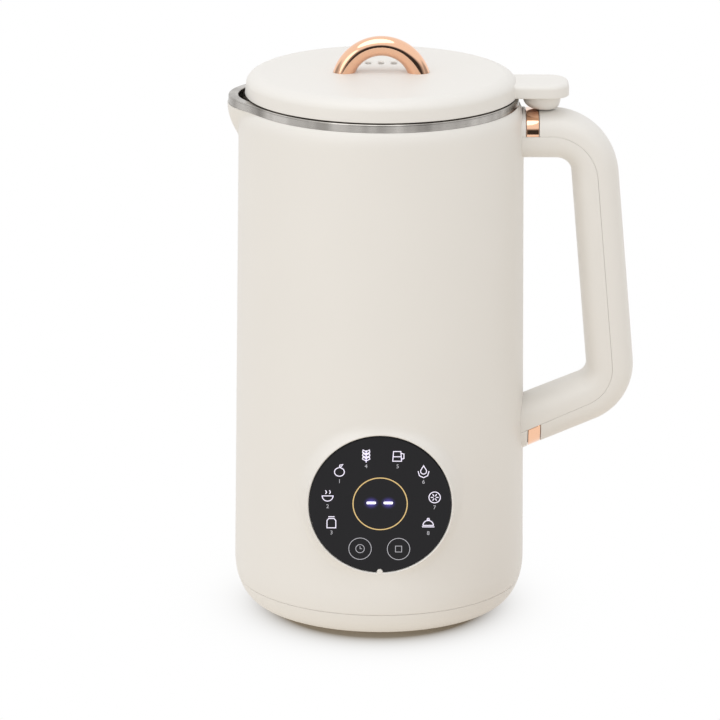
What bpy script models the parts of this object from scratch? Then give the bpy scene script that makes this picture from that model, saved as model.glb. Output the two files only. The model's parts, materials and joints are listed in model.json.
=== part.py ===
# Soy milk maker: a tall round body with a steel cup, a lift-off lid, a hollow handle and a motor below.
# Metres. Heights run up from the underside of the base cover. The panel faces -Y and the handle is at +X.
import math

import bmesh
import bpy
from mathutils import Matrix, Vector

# Clearances and drawing values
gap = 0.0003  # between pieces that rest on or fit in each other
overrun = 0.003  # how far a cutter runs past the face that it opens
weld = 0.000001  # points closer than this are one point
sides_body = 60
sides_cup = 48
sides_round = 32
sides_inner = 20
sides_small = 12
smooth_angle = math.radians(35)

# Outer shell
skirt_radius = 0.0617  # widest, at the top of the rounded foot
skirt_height = 0.0270
base_inset = 0.0080
base_radius = skirt_radius - base_inset  # edge of the flat underside
neck_inset = 0.0017
neck_radius = skirt_radius - neck_inset
neck_height = 0.2000
shell_top = 0.2174
shell_wall = 0.0022
shell_edge = 0.0007
seam_height = 0.0103  # between shell and base cover
seam_gap = 0.0004
skirt_steps = 5
hollow_steps = 3

# Rim and pouring lip of the steel cup
rim_inset = 0.0013
rim_radius = neck_radius - rim_inset
rim_height = 0.0034  # above the shell
rim_top = shell_top + rim_height
rim_width = 0.0045
rim_edge = 0.0004
spout_swell = 0.0055
spout_reach = rim_radius + spout_swell
spout_half_angle = math.radians(32)
spout_depth = 0.0163  # how far the fairing runs down the shell
spout_curve = 1.6
spout_taper_share = 0.55
cup_step = 0.0007  # between the rim's inner edge and the wall of the cup
cup_radius = rim_radius - rim_width - cup_step
cup_wall = 0.0008
cup_corner = 0.0150

# Control panel, on an axis along -Y
panel_lift = 0.0492  # of the lens centre, above the seam
panel_height = seam_height + panel_lift
panel_rise = 0.0008
panel_face = skirt_radius + panel_rise  # front of the raised round place
lens_radius = 0.0296
lens_thickness = 0.0020
lens_inset = 0.0002
lens_ledge = 0.0021
panel_lip = 0.0015
panel_flare = 0.0050  # width of the soft slope round the lip
flare_shares = (0.0, 0.12, 0.3, 0.5, 0.7, 1.0)
window_radius = lens_radius - lens_ledge
nib_radius = 0.0011
carrier_depth = 0.0024
carrier_width = 0.0022
board_thickness = 0.0016
display_width = 0.0200
display_height = 0.0100
touch_radius = 0.0044
touch_clearance = 0.0004
touch_ring = window_radius - gap - carrier_width - touch_clearance - touch_radius
touch_turn = math.radians(23.4)  # each side of straight down from the lens centre

# Lid
lid_inset = 0.0014
lid_radius = rim_radius - lid_inset
lid_draft = 0.0005
lid_side = 0.0059
lid_crown = 0.0030
lid_bottom = rim_top + gap
lid_shoulder = lid_bottom + lid_side
lid_top = lid_shoulder + lid_crown
lid_edge = 0.0058  # width of the rounded edge round the flat top
lid_flat_radius = lid_radius - lid_edge
lid_wall = 0.0025
vent_back = 0.0177
vent_pitch = 0.0053
vent_width = 0.0028
vent_length = 0.0050
steam_hole_radius = 0.0012
liner_clearance = 0.0020
liner_radius = cup_radius - liner_clearance
liner_drop = 0.0091
liner_bottom = lid_bottom - liner_drop
liner_wall = 0.0015
liner_flange_lift = 0.0005
liner_flange_height = lid_bottom + liner_flange_lift
liner_flange_clearance = 0.0004
liner_flange_radius = lid_radius - lid_wall - liner_flange_clearance
seal_height = 0.0024
seal_lift = 0.0024
seal_low = liner_bottom + seal_lift
seal_groove = 0.0014
probe_inset = 0.0185
probe_place = liner_radius - probe_inset
probe_radius = 0.0018
probe_length = 0.0340
probe_tip = liner_bottom - probe_length
probe_head_radius = 0.0040
probe_head_height = 0.0015

# Arch on the lid
arch_rise = 0.0155
arch_top = lid_top + arch_rise
arch_half_chord = 0.0162
arch_tube = 0.0040
arch_foot_tube = 0.0045
arch_overlap = math.radians(8)
arch_steps = 24
arch_sides = 12
arch_screw_inset = 0.0006
arch_screw_place = arch_half_chord - arch_screw_inset
arch_screw_reach = 0.0045
arch_screw_radius = 0.0012
arch_screw_head_radius = 0.0028
arch_screw_head = 0.0018

# Lid coupler below the lid's tongue, and its socket in the handle
bowl_radius = 0.0077
bowl_clearance = 0.0010  # between the bowl and the cup's rim
bowl_place = rim_radius + bowl_clearance + bowl_radius
bowl_foot_radius = 0.0034
bowl_foot_shift = 0.0018
bowl_foot_place = bowl_place + bowl_foot_shift
bowl_steps = 5
coupler_height = 0.0065
tongue_side_margin = 0.0047
tongue_end_margin = 0.0036
tongue_half_width = bowl_radius + tongue_side_margin
tongue_reach = bowl_place + bowl_radius + tongue_end_margin
tongue_step = 0.0001
tongue_top = lid_shoulder - tongue_step
tongue_corner = 0.0050
tongue_edge = 0.0020
spigot_edge = 0.0020
spigot_radius = bowl_radius - spigot_edge
spigot_height = 0.0030
pin_spread = 0.0016
pin_radius = 0.0006
pin_reach = 0.0024
pin_root = 0.0030
socket_radius = 0.0029
socket_depth = 0.0050
socket_hole_depth = 0.0034

# Handle, drawn in the plane Y = 0
handle_top = lid_bottom - coupler_height
handle_overlap = 0.0040
handle_root = neck_radius - handle_overlap  # inside the shell line, before the root is cut to the shell
shoulder_span = 0.0418
shoulder_reach = handle_root + shoulder_span
shoulder_round = 0.0290
heel_lean = 0.0118
heel_reach = shoulder_reach + heel_lean
heel_round = 0.0260
handle_top_depth = 0.0208
grip_gap_top = handle_top - handle_top_depth
shoulder_depth = 0.0180
grip_gap_reach = shoulder_reach - shoulder_depth
grip_gap_round = 0.0066
grip_root_height = 0.0876
grip_heel_rise = 0.0125
grip_heel_height = grip_root_height + grip_heel_rise
heel_reach_depth = 0.0212
grip_heel_reach = heel_reach - heel_reach_depth
grip_heel_round = 0.0053
heel_depth = 0.0126
heel_height = grip_heel_height - heel_depth
root_depth = 0.0251
heel_root_height = grip_root_height - root_depth
handle_half_width = 0.0130
cover_depth = 0.0093  # of the outer cover, from the back of the handle to the seam
handle_squareness = 2.7  # exponent of the rounded section
bend_steps = 7
section_steps = 14
trim_thickness = 0.0012
upper_trim_offset = 0.0008
upper_trim_width = 0.0052
upper_trim_start = neck_radius + upper_trim_offset
upper_trim_end = upper_trim_start + upper_trim_width
lower_trim_offset = 0.0018
lower_trim_width = 0.0053
lower_trim_start = skirt_radius + lower_trim_offset
lower_trim_end = lower_trim_start + lower_trim_width
handle_screw_radius = 0.0015
handle_screw_head_radius = 0.0030
handle_screw_head = 0.0020
handle_screw_reach = 0.0160
handle_screw_end = handle_root + handle_screw_reach
upper_screw_rise = 0.0056
upper_screw_height = grip_gap_top + upper_screw_rise
lower_screw_drop = 0.0030
lower_screw_height = grip_root_height - lower_screw_drop

# Base cover and feet
base_wall = 0.0024
base_floor = 0.0030
spigot_wall = 0.0022
base_spigot = 0.0040
foot_stand = 0.0010  # how far the feet stand below the base cover
foot_pocket = 0.0018
foot_radius = 0.0055
foot_inset = 0.0107
foot_place = base_radius - foot_inset
foot_edge = 0.0006
base_screw_inset = 0.0137
base_screw_place = base_radius - base_screw_inset
base_screw_radius = 0.0015
base_screw_head_radius = 0.0030
base_screw_head = 0.0015
base_screw_pocket = 0.0019
base_screw_reach = 0.0090
base_screw_end = base_floor + base_screw_reach
rail_width = 0.0060

# Power inlet at the back, on an axis along +Y, and the power board
inlet_lift = 0.0157
inlet_height = seam_height + base_spigot + inlet_lift
inlet_half_width = 0.0140
inlet_half_height = 0.0098
inlet_depth = 0.0197
inlet_root = skirt_radius - inlet_depth
inlet_back = 0.0050
inlet_cavity_root = inlet_root + inlet_back
inlet_wall = 0.0016
bezel_width = 0.0024
bezel_thickness = 0.0014
pin_pitch = 0.0070
pin_offset = 0.0020
blade_pin_thickness = 0.0020
blade_pin_height = 0.0040
blade_pin_setback = 0.0027
blade_pin_end = skirt_radius - blade_pin_setback
board_inset = 0.0177
power_board_place = board_inset - skirt_radius
board_clearance = 0.00165  # between the board's corners and the base cover
board_corner_radius = base_radius - base_wall - board_clearance
power_board_half_width = math.sqrt(board_corner_radius**2 - power_board_place**2)
power_board_height = 0.0420
power_board_thickness = 0.0016

# Motor, on the body axis, from the fan up
post_radius = 0.0036
fan_clearance = 0.0124
fan_radius = base_screw_place - post_radius - fan_clearance
fan_lift = 0.0036
fan_low = base_floor + fan_lift
fan_height = 0.0064
fan_high = fan_low + fan_height
fan_hub_radius = 0.0070
fan_plate = 0.0012
fan_blades = 7
fan_blade_thickness = 0.0014
base_vent_count = 16
base_vent_width = 0.0030
base_vent_inner = 0.0140
base_vent_margin = 0.0060
base_vent_outer = fan_radius + base_vent_margin
shaft_radius = 0.0030
shaft_end = 0.0011
shaft_low = fan_low - shaft_end
collar_radius = 0.0046
collar_height = 0.0010
bearing_radius = 0.0080
bearing_height = 0.0050
hub_radius = 0.0105
hub_clearance = 0.0008  # between the fan and the lower bracket
bracket_floor = 0.0012  # under each bearing
bracket_step = 0.0004  # between levels of a bracket
arm_width = 0.0100
lower_bracket_thickness = 0.0030
lower_bracket_high = fan_high + hub_clearance + bracket_floor + bearing_height
lower_bracket_low = lower_bracket_high - lower_bracket_thickness
stator_lift = 0.0110
stator_low = lower_bracket_high + stator_lift
stator_height = 0.0240
stator_high = stator_low + stator_height
stator_inset = 0.0307
stator_radius = skirt_radius - stator_inset
stator_wall = 0.0050
pole_half_angle = math.radians(50)
coil_wire_radius = 0.0022
coil_clearance = 0.0010
coil_overhang = 0.0031
coil_corner_share = 0.2
pole_inner_radius = stator_radius - stator_wall - 2 * (coil_wire_radius + coil_clearance)
coil_ring_radius = pole_inner_radius + coil_clearance + coil_wire_radius
coil_half_angle = pole_half_angle + (coil_clearance + coil_wire_radius) / coil_ring_radius
air_gap = 0.0006
core_radius = pole_inner_radius - air_gap
core_slots = 12
slot_depth_share = 0.38  # of the core's depth round the shaft
slot_depth = slot_depth_share * (core_radius - shaft_radius - gap)
slot_share = 0.32
commutator_radius = 0.0080
commutator_clearance = 0.0011
commutator_low = lower_bracket_high + commutator_clearance
commutator_end = 0.0020
commutator_high = stator_low - commutator_end
brush_gap = 0.0006
brush_length = 0.0100
brush_width = 0.0080
brush_height = 0.0050
stator_post_inset = 0.0020
stator_post_place = stator_radius - stator_post_inset
upper_post_inset = 0.0035
upper_post_place = stator_post_place - upper_post_inset
upper_bracket_clearance = 0.0009
upper_bracket_low = stator_high + coil_overhang + coil_wire_radius + upper_bracket_clearance
upper_bracket_thickness = 0.0026
upper_hub_high = upper_bracket_low + bracket_floor + bearing_height

# Floor of the cup, and the heating under it
heater_room = 0.0126
cup_floor = upper_hub_high + heater_room
heat_plate_thickness = 0.0025
heat_plate_margin = 0.0007
heat_plate_radius = cup_radius + cup_wall - cup_corner + heat_plate_margin
heat_plate_hole = 0.0120
heater_inset = 0.0040
heater_ring_radius = heat_plate_radius - heater_inset
heater_tube_radius = 0.0030
heater_steps = 24
heater_sides = 7
heater_open_angle = math.radians(24)
thermostat_radius = 0.0050
thermostat_height = 0.0070
thermostat_clearance = 0.0040
thermostat_place = heater_ring_radius - heater_tube_radius - thermostat_clearance - thermostat_radius

# Shaft housing, seal and blade in the cup
housing_radius = 0.0090
housing_height = 0.0080
housing_top = cup_floor + housing_height
housing_stem_radius = 0.0060
housing_stem = 0.0085
housing_low = cup_floor - housing_stem
housing_edge = 0.0010
seal_ring_radius = 0.0054
seal_ring_height = 0.0026
blade_lift = 0.0027
blade_height = housing_top + blade_lift
blade_thickness = 0.0012
blade_hub_radius = 0.0050
blade_length = 0.0220
blade_width = 0.0070
blade_rise = 0.0050
blade_tip_share = 0.35
nut_radius = 0.0050
nut_height = 0.0045


def clear_scene():
    for item in list(bpy.data.objects):
        bpy.data.objects.remove(item, do_unlink=True)


def make_material(name, colour, roughness, metallic=0.0):
    material = bpy.data.materials.new(name)
    material.use_nodes = True
    shader = material.node_tree.nodes["Principled BSDF"]
    shader.inputs["Base Color"].default_value = (*colour, 1.0)
    shader.inputs["Roughness"].default_value = roughness
    shader.inputs["Metallic"].default_value = metallic
    material.diffuse_color = (*colour, 1.0)
    return material


def add_empty(name, location, parent=None):
    empty = bpy.data.objects.new(name, None)
    bpy.context.collection.objects.link(empty)
    empty.location = location
    empty.parent = parent
    return empty


def add_object(name, bm, parent, location=(0, 0, 0), rotation=(0, 0, 0)):
    bmesh.ops.recalc_face_normals(bm, faces=bm.faces)
    mesh = bpy.data.meshes.new(name)
    bm.to_mesh(mesh)
    bm.free()
    mesh.shade_smooth()
    mesh.set_sharp_from_angle(angle=smooth_angle)
    item = bpy.data.objects.new(name, mesh)
    bpy.context.collection.objects.link(item)
    item.parent = parent
    item.location = location
    item.rotation_euler = rotation
    return item


def add_piece(name, bm, material, parent, location=(0, 0, 0), rotation=(0, 0, 0)):
    item = add_object(name, bm, parent, location, rotation)
    item.data.materials.append(material)
    return item


def add_cutter(name, bm, parent, location=(0, 0, 0), rotation=(0, 0, 0)):
    item = add_object(name, bm, parent, location, rotation)
    item.hide_render = True
    item.display_type = "WIRE"
    return item


def combine(target, other, operation="DIFFERENCE"):
    modifier = target.modifiers.new(other.name, "BOOLEAN")
    modifier.operation = operation
    modifier.object = other


# Solids

def turned(profile, sides):
    # Spins (radius, height) points round Z. A profile that never meets the axis is closed into a ring.
    bm = bmesh.new()
    verts = [bm.verts.new((radius, 0, height)) for radius, height in profile]
    edges = [bm.edges.new(pair) for pair in zip(verts, verts[1:])]
    if min(radius for radius, _ in profile) > 0:
        edges.append(bm.edges.new((verts[-1], verts[0])))
    bmesh.ops.spin(
        bm, geom=verts + edges, cent=(0, 0, 0), axis=(0, 0, 1), angle=math.tau, steps=sides, use_merge=True
    )
    bmesh.ops.remove_doubles(bm, verts=bm.verts, dist=weld)
    # A flat end becomes one face
    middles = [vert for vert in bm.verts if vert.co.xy.length < weld]
    bmesh.ops.dissolve_verts(bm, verts=middles)
    return bm


def skinned(rings, closed=False):
    # Joins rings of equal count. The last ring meets the first one, or both ends are capped.
    bm = bmesh.new()
    loops = [[bm.verts.new(point) for point in ring] for ring in rings]
    pairs = list(zip(loops, loops[1:]))
    if closed:
        pairs.append((loops[-1], loops[0]))
    else:
        bm.faces.new(loops[0])
        bm.faces.new(loops[-1])
    for lower, upper in pairs:
        for here in range(len(lower)):
            there = (here + 1) % len(lower)
            bm.faces.new((lower[here], lower[there], upper[there], upper[here]))
    return bm


def prism(outline, low, high):
    return skinned([[(x, y, low) for x, y in outline], [(x, y, high) for x, y in outline]])


def cylinder(radius, low, high, sides, x=0, y=0):
    return prism([(x + radius * c, y + radius * s) for c, s in circle(sides)], low, high)


def block(low, high):
    (x0, y0, z0), (x1, y1, z1) = low, high
    return prism([(x0, y0), (x1, y0), (x1, y1), (x0, y1)], z0, z1)


def circle(sides):
    turns = [math.tau * step / sides for step in range(sides)]
    return [(math.cos(turn), math.sin(turn)) for turn in turns]


def slot_outline(width, length, x, y, steps=5):
    # A rounded slot that runs along Y
    reach = (length - width) / 2
    points = []
    for side in (1, -1):
        for step in range(steps + 1):
            turn = math.pi * step / steps
            across = side * width / 2 * math.cos(turn)
            points.append((x + across, y + side * (reach + width / 2 * math.sin(turn))))
    return points


def merged(*parts):
    # One bmesh that holds the given ones
    whole = parts[0]
    for part in parts[1:]:
        scratch = bpy.data.meshes.new("scratch")
        part.to_mesh(scratch)
        part.free()
        whole.from_mesh(scratch)
        bpy.data.meshes.remove(scratch)
    return whole


def turned_about_z(bm, angle):
    bm.transform(Matrix.Rotation(angle, 4, "Z"))
    return bm


# Shapes that several pieces share

def shell_radius(height):
    if height >= skirt_height:
        along = (height - skirt_height) / (neck_height - skirt_height)
        return skirt_radius + (neck_radius - skirt_radius) * along
    drop = (skirt_height - max(height, 0)) / skirt_height
    return base_radius + (skirt_radius - base_radius) * math.sqrt(1 - drop * drop)


def skirt_profile(low, high, steps):
    # (radius, height) points of the rounded foot between two heights
    first = math.asin(1 - low / skirt_height)
    last = math.asin(1 - high / skirt_height)
    points = []
    for step in range(steps + 1):
        turn = first + (last - first) * step / steps
        radius = base_radius + (skirt_radius - base_radius) * math.cos(turn)
        points.append((radius, skirt_height * (1 - math.sin(turn))))
    return points


nose_place = (spout_reach - rim_radius) / (1 - math.cos(spout_half_angle))
nose_radius = spout_reach - nose_place
nose_half_angle = math.atan2(
    nose_radius * math.sin(spout_half_angle), nose_place + nose_radius * math.cos(spout_half_angle)
)


def lip_swell(angle, drop):
    # How far the lip stands out of the rim's circle. drop is how far down its fairing, from 0 to 1.
    width_share = 1 - spout_taper_share * drop
    turn = abs(math.remainder(angle - math.pi, math.tau)) / width_share
    if turn >= spout_half_angle or drop >= 1:
        return 0
    if turn > nose_half_angle:
        outline = rim_radius / math.cos(spout_half_angle - turn)
    else:
        across = nose_place * math.sin(turn)
        outline = nose_place * math.cos(turn) + math.sqrt(nose_radius**2 - across**2)
    return (outline - rim_radius) * (1 - drop**spout_curve)


def lip_ring(sides, radius, height, swell_share, drop):
    points = []
    for step in range(sides):
        angle = math.tau * step / sides
        reach = radius + swell_share * lip_swell(angle, drop)
        points.append((reach * math.cos(angle), reach * math.sin(angle), height))
    return points


fairing_drops = (0.97, 0.8, 0.62, 0.44, 0.26, 0.1)
hollow_drops = (0.97, 0.6, 0.3)
rim_bottom = shell_top + gap
shell_bottom = seam_height + seam_gap
shell_top_radius = shell_radius(shell_top)
shell_swell_share = (spout_reach - shell_top_radius) / (spout_reach - rim_radius)


def shell_rings(inset, low, high, sides, steps, drops):
    # Rings of the shell's surface, moved inwards by inset, from low up to high
    rings = [lip_ring(sides, shell_radius(shell_bottom) - inset, low, 0, 1)]
    for radius, height in skirt_profile(shell_bottom, skirt_height, steps)[1:]:
        rings.append(lip_ring(sides, radius - inset, height, 0, 1))
    for drop in drops:
        height = shell_top - spout_depth * drop
        rings.append(lip_ring(sides, shell_radius(height) - inset, height, shell_swell_share, drop))
    rings.append(lip_ring(sides, shell_top_radius - inset, high, shell_swell_share, 0))
    return rings


# Materials

def make_materials():
    return {
        "cream": make_material("cream_plastic", (0.80, 0.77, 0.72), 0.42),
        "cream_inner": make_material("cream_inner_plastic", (0.72, 0.70, 0.66), 0.5),
        "steel": make_material("brushed_steel", (0.55, 0.53, 0.51), 0.3, 1.0),
        "rose_gold": make_material("rose_gold_plating", (0.87, 0.50, 0.34), 0.12, 1.0),
        "lens": make_material("black_lens", (0.015, 0.015, 0.017), 0.15),
        "silicone": make_material("grey_silicone", (0.45, 0.45, 0.44), 0.6),
        "rubber": make_material("dark_rubber", (0.04, 0.04, 0.04), 0.8),
        "black_plastic": make_material("black_plastic", (0.03, 0.03, 0.03), 0.5),
        "copper": make_material("copper_winding", (0.60, 0.26, 0.12), 0.35, 1.0),
        "iron": make_material("laminated_iron", (0.20, 0.20, 0.21), 0.5, 1.0),
        "zinc": make_material("zinc_plated_steel", (0.60, 0.61, 0.62), 0.35, 1.0),
        "aluminium": make_material("cast_aluminium", (0.62, 0.62, 0.62), 0.45, 1.0),
        "brass": make_material("brass", (0.70, 0.50, 0.22), 0.3, 1.0),
        "board": make_material("green_board", (0.03, 0.16, 0.07), 0.5),
        "foam": make_material("dark_foam", (0.06, 0.06, 0.06), 0.9),
    }


# Body

def shell_depth(across, up):
    # How far the shell's surface stands out at a point of the panel's frame
    return math.sqrt(shell_radius(panel_height + up) ** 2 - across**2)


def panel_root():
    # A depth inside the shell's wall all round the raised place
    end_radius = lens_radius + panel_lip + panel_flare
    return math.sqrt((skirt_radius - shell_wall) ** 2 - end_radius**2) - overrun


def make_panel_boss(parent):
    # The raised round place: a flat face with a lip that slopes softly down to the round shell
    lip_radius = lens_radius + panel_lip
    end_radius = lip_radius + panel_flare
    root = panel_root()
    rings = []
    for share in flare_shares:
        radius = lip_radius + panel_flare * share
        fade = (1 - share) ** 2 * (1 + 2 * share)
        ring = []
        for across, up in circle(sides_cup):
            start = shell_depth(lip_radius * across, lip_radius * up)
            surface = shell_depth(radius * across, radius * up) - gap * share
            ring.append((radius * across, radius * up, surface + (panel_face - start) * fade))
        rings.append(ring)
    rings.append([(end_radius * c, end_radius * s, root) for c, s in circle(sides_cup)])
    return add_cutter("panel_boss", skinned(rings), parent, *panel_frame)


panel_frame = ((0, 0, panel_height), (math.pi / 2, 0, 0))


def make_outer_shell(parent, materials):
    rings = shell_rings(0, shell_bottom, shell_top - shell_edge, sides_body, skirt_steps, fairing_drops)
    rings.append(lip_ring(sides_body, shell_top_radius - shell_edge, shell_top, shell_swell_share, 0))
    shell = add_piece("outer_shell", skinned(rings), materials["cream"], parent)
    combine(shell, make_panel_boss(parent), "UNION")
    hollow = shell_rings(
        shell_wall, shell_bottom - overrun, shell_top + overrun, sides_cup, hollow_steps, hollow_drops
    )
    combine(shell, add_cutter("shell_hollow", skinned(hollow), parent))

    ledge = panel_face - lens_inset - lens_thickness - gap
    pocket = cylinder(lens_radius + gap, ledge, panel_face + overrun, sides_cup)
    pocket = add_cutter("lens_pocket", pocket, parent, *panel_frame)
    nib_low, nib_high = ledge - overrun, panel_face + 2 * overrun
    nib = cylinder(nib_radius, nib_low, nib_high, sides_small, 0, -lens_radius - gap)
    combine(pocket, add_cutter("lens_nib", nib, parent, *panel_frame))
    combine(shell, pocket)
    window = cylinder(window_radius, panel_root() - overrun, panel_face + overrun, sides_cup)
    combine(shell, add_cutter("panel_window", window, parent, *panel_frame))

    for name, height in (("upper", upper_screw_height), ("lower", lower_screw_height)):
        low = shell_radius(height) - shell_wall - overrun
        hole = cylinder(handle_screw_radius + gap, low, low + shell_wall + 2 * overrun, sides_small)
        place = ((0, 0, height), (0, math.pi / 2, 0))
        combine(shell, add_cutter(f"shell_{name}_screw_hole", hole, parent, *place))
    opening = block(
        (-inlet_half_width - gap, -inlet_half_height - gap, inlet_root),
        (inlet_half_width + gap, inlet_half_height + gap, skirt_radius + overrun),
    )
    combine(shell, add_cutter("inlet_opening", opening, parent, *inlet_frame))


def cup_profile():
    # (radius, height, drop) points from the hole in the floor out, up, over the rim and down the inside
    outer = cup_radius + cup_wall
    hole = housing_stem_radius + gap
    rim_inner = rim_radius - rim_width
    steps = 3
    under = [(hole, cup_floor - cup_wall, 1)]
    inside = [(hole, cup_floor, 1)]
    for step in range(steps + 1):
        turn = math.pi / 2 * step / steps
        out, up = math.sin(turn), 1 - math.cos(turn)
        under.append((outer - cup_corner * (1 - out), cup_floor - cup_wall + cup_corner * up, 1))
        inside.append((cup_radius - cup_corner * (1 - out), cup_floor + cup_corner * up, 1))
    for drop in (1, 0.66, 0.33):
        height = rim_bottom - spout_depth * drop
        under.append((outer, height, drop))
        inside.append((cup_radius, height, drop))
    under.append((outer, rim_bottom, 0))
    rim = [
        (rim_radius - rim_edge, rim_bottom, 0),
        (rim_radius, rim_bottom + rim_edge, 0),
        (rim_radius, rim_top - rim_edge, 0),
        (rim_radius - rim_edge, rim_top, 0),
        (rim_inner + rim_edge, rim_top, 0),
        (rim_inner, rim_top - rim_edge, 0),
        (cup_radius, rim_bottom, 0),
    ]
    return under + rim + inside[::-1]


def make_inner_cup(parent, materials):
    rings = [lip_ring(sides_cup, radius, height, 1, drop) for radius, height, drop in cup_profile()]
    add_piece("inner_cup", skinned(rings, closed=True), materials["steel"], parent)


def make_base_cover(parent, materials):
    spigot = shell_radius(shell_bottom) - shell_wall - gap
    spigot_top = seam_height + base_spigot
    outer = skirt_profile(0, seam_height, 4)
    profile = [(0, 0)] + outer + [
        (spigot, seam_height),
        (spigot, spigot_top),
        (spigot - spigot_wall, spigot_top),
        (spigot - spigot_wall, seam_height),
        (base_radius - base_wall, base_floor),
        (0, base_floor),
    ]
    cover = add_piece("base_cover", turned(profile, sides_cup), materials["cream"], parent)

    cutters = []
    for step in range(base_vent_count):
        vent = block(
            (base_vent_inner, -base_vent_width / 2, -overrun),
            (base_vent_outer, base_vent_width / 2, base_floor + overrun),
        )
        cutters.append(turned_about_z(vent, math.tau * (step + 0.5) / base_vent_count))
    for x, y in foot_places():
        cutters.append(cylinder(foot_radius + gap, -overrun, foot_pocket, sides_small, x, y))
    stepped = [
        (0, -overrun),
        (base_screw_head_radius + gap, -overrun),
        (base_screw_head_radius + gap, base_screw_pocket),
        (base_screw_radius + gap, base_screw_pocket),
        (base_screw_radius + gap, base_floor + overrun),
        (0, base_floor + overrun),
    ]
    for x, y in base_screw_places():
        hole = turned(stepped, sides_small)
        hole.transform(Matrix.Translation((x, y, 0)))
        cutters.append(hole)
    combine(cover, add_cutter("base_vents_and_holes", merged(*cutters), parent))

    # Two blocks on the floor, slotted for the power board
    slots = []
    for name, side in (("front", -1), ("back", 1)):
        y = side * power_board_half_width
        rail = block(
            (power_board_place - rail_width / 2, y - rail_width / 2, base_floor / 2),
            (power_board_place + rail_width / 2, y + rail_width / 2, base_floor + rail_width),
        )
        combine(cover, add_cutter(f"board_rail_{name}", rail, parent), "UNION")
        ends = sorted((y + side * gap, y - side * rail_width))
        slots.append(
            block(
                (power_board_place - gap, ends[0], base_floor - gap),
                (power_board_place + power_board_thickness + gap, ends[1], base_floor + 2 * rail_width),
            )
        )
    combine(cover, add_cutter("board_slots", merged(*slots), parent))


def foot_places():
    return [(foot_place * c, foot_place * s) for c, s in circle(4)]


def base_screw_places():
    diagonal = math.pi / 4
    turns = [diagonal + math.pi / 2 * step for step in range(4)]
    return [(base_screw_place * math.cos(turn), base_screw_place * math.sin(turn)) for turn in turns]


def make_feet_and_screws(parent, materials):
    for number, (x, y) in enumerate(foot_places(), 1):
        profile = [
            (0, -foot_stand),
            (foot_radius - foot_edge, -foot_stand),
            (foot_radius, -foot_stand + foot_edge),
            (foot_radius, foot_pocket - gap),
            (0, foot_pocket - gap),
        ]
        foot = turned(profile, sides_small)
        add_piece(f"foot_{number}", foot, materials["rubber"], parent, (x, y, 0))
    head_low = base_screw_pocket - gap - base_screw_head
    for number, (x, y) in enumerate(base_screw_places(), 1):
        screw = screw_profile(
            base_screw_head_radius, base_screw_head, base_screw_radius, base_screw_end - head_low
        )
        screw = turned(screw, sides_small)
        add_piece(f"base_screw_{number}", screw, materials["zinc"], parent, (x, y, head_low))


def screw_profile(head_radius, head_height, radius, length):
    # A pan head that stands on z = 0, with its shank going up and a small point
    tip = radius / 2
    return [
        (0, 0),
        (head_radius - tip, 0),
        (head_radius, tip),
        (head_radius, head_height),
        (radius, head_height),
        (radius, length - tip),
        (tip, length),
        (0, length),
    ]


# Control panel

def make_panel(parent, materials):
    front = panel_face - lens_inset
    back = front - lens_thickness
    lens = cylinder(lens_radius, back, front, sides_cup)
    lens = add_piece("control_lens", lens, materials["lens"], parent, *panel_frame)
    low, high = back - overrun, front + overrun
    notch = cylinder(nib_radius + gap, low, high, sides_small, 0, -lens_radius - gap)
    combine(lens, add_cutter("lens_notch", notch, parent, *panel_frame))

    layer_front = back - gap
    layer_back = layer_front - carrier_depth
    outer = window_radius - gap
    carrier = turned(
        [
            (outer, layer_back),
            (outer, layer_front),
            (outer - carrier_width, layer_front),
            (outer - carrier_width, layer_back),
        ],
        sides_inner,
    )
    add_piece("panel_carrier", carrier, materials["black_plastic"], parent, *panel_frame)
    board_front = layer_back - gap
    board = cylinder(outer, board_front - board_thickness, board_front, sides_inner)
    add_piece("control_board", board, materials["board"], parent, *panel_frame)
    display = block(
        (-display_width / 2, -display_height / 2, layer_back),
        (display_width / 2, display_height / 2, layer_front),
    )
    add_piece("display_module", display, materials["black_plastic"], parent, *panel_frame)
    for name, side in (("left", -1), ("right", 1)):
        pad = cylinder(touch_radius, layer_back, layer_front, sides_small)
        across, drop = touch_ring * math.sin(touch_turn), touch_ring * math.cos(touch_turn)
        place = (side * across, 0, panel_height - drop)
        add_piece(f"touch_pad_{name}", pad, materials["foam"], parent, place, panel_frame[1])


# Lid

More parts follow.
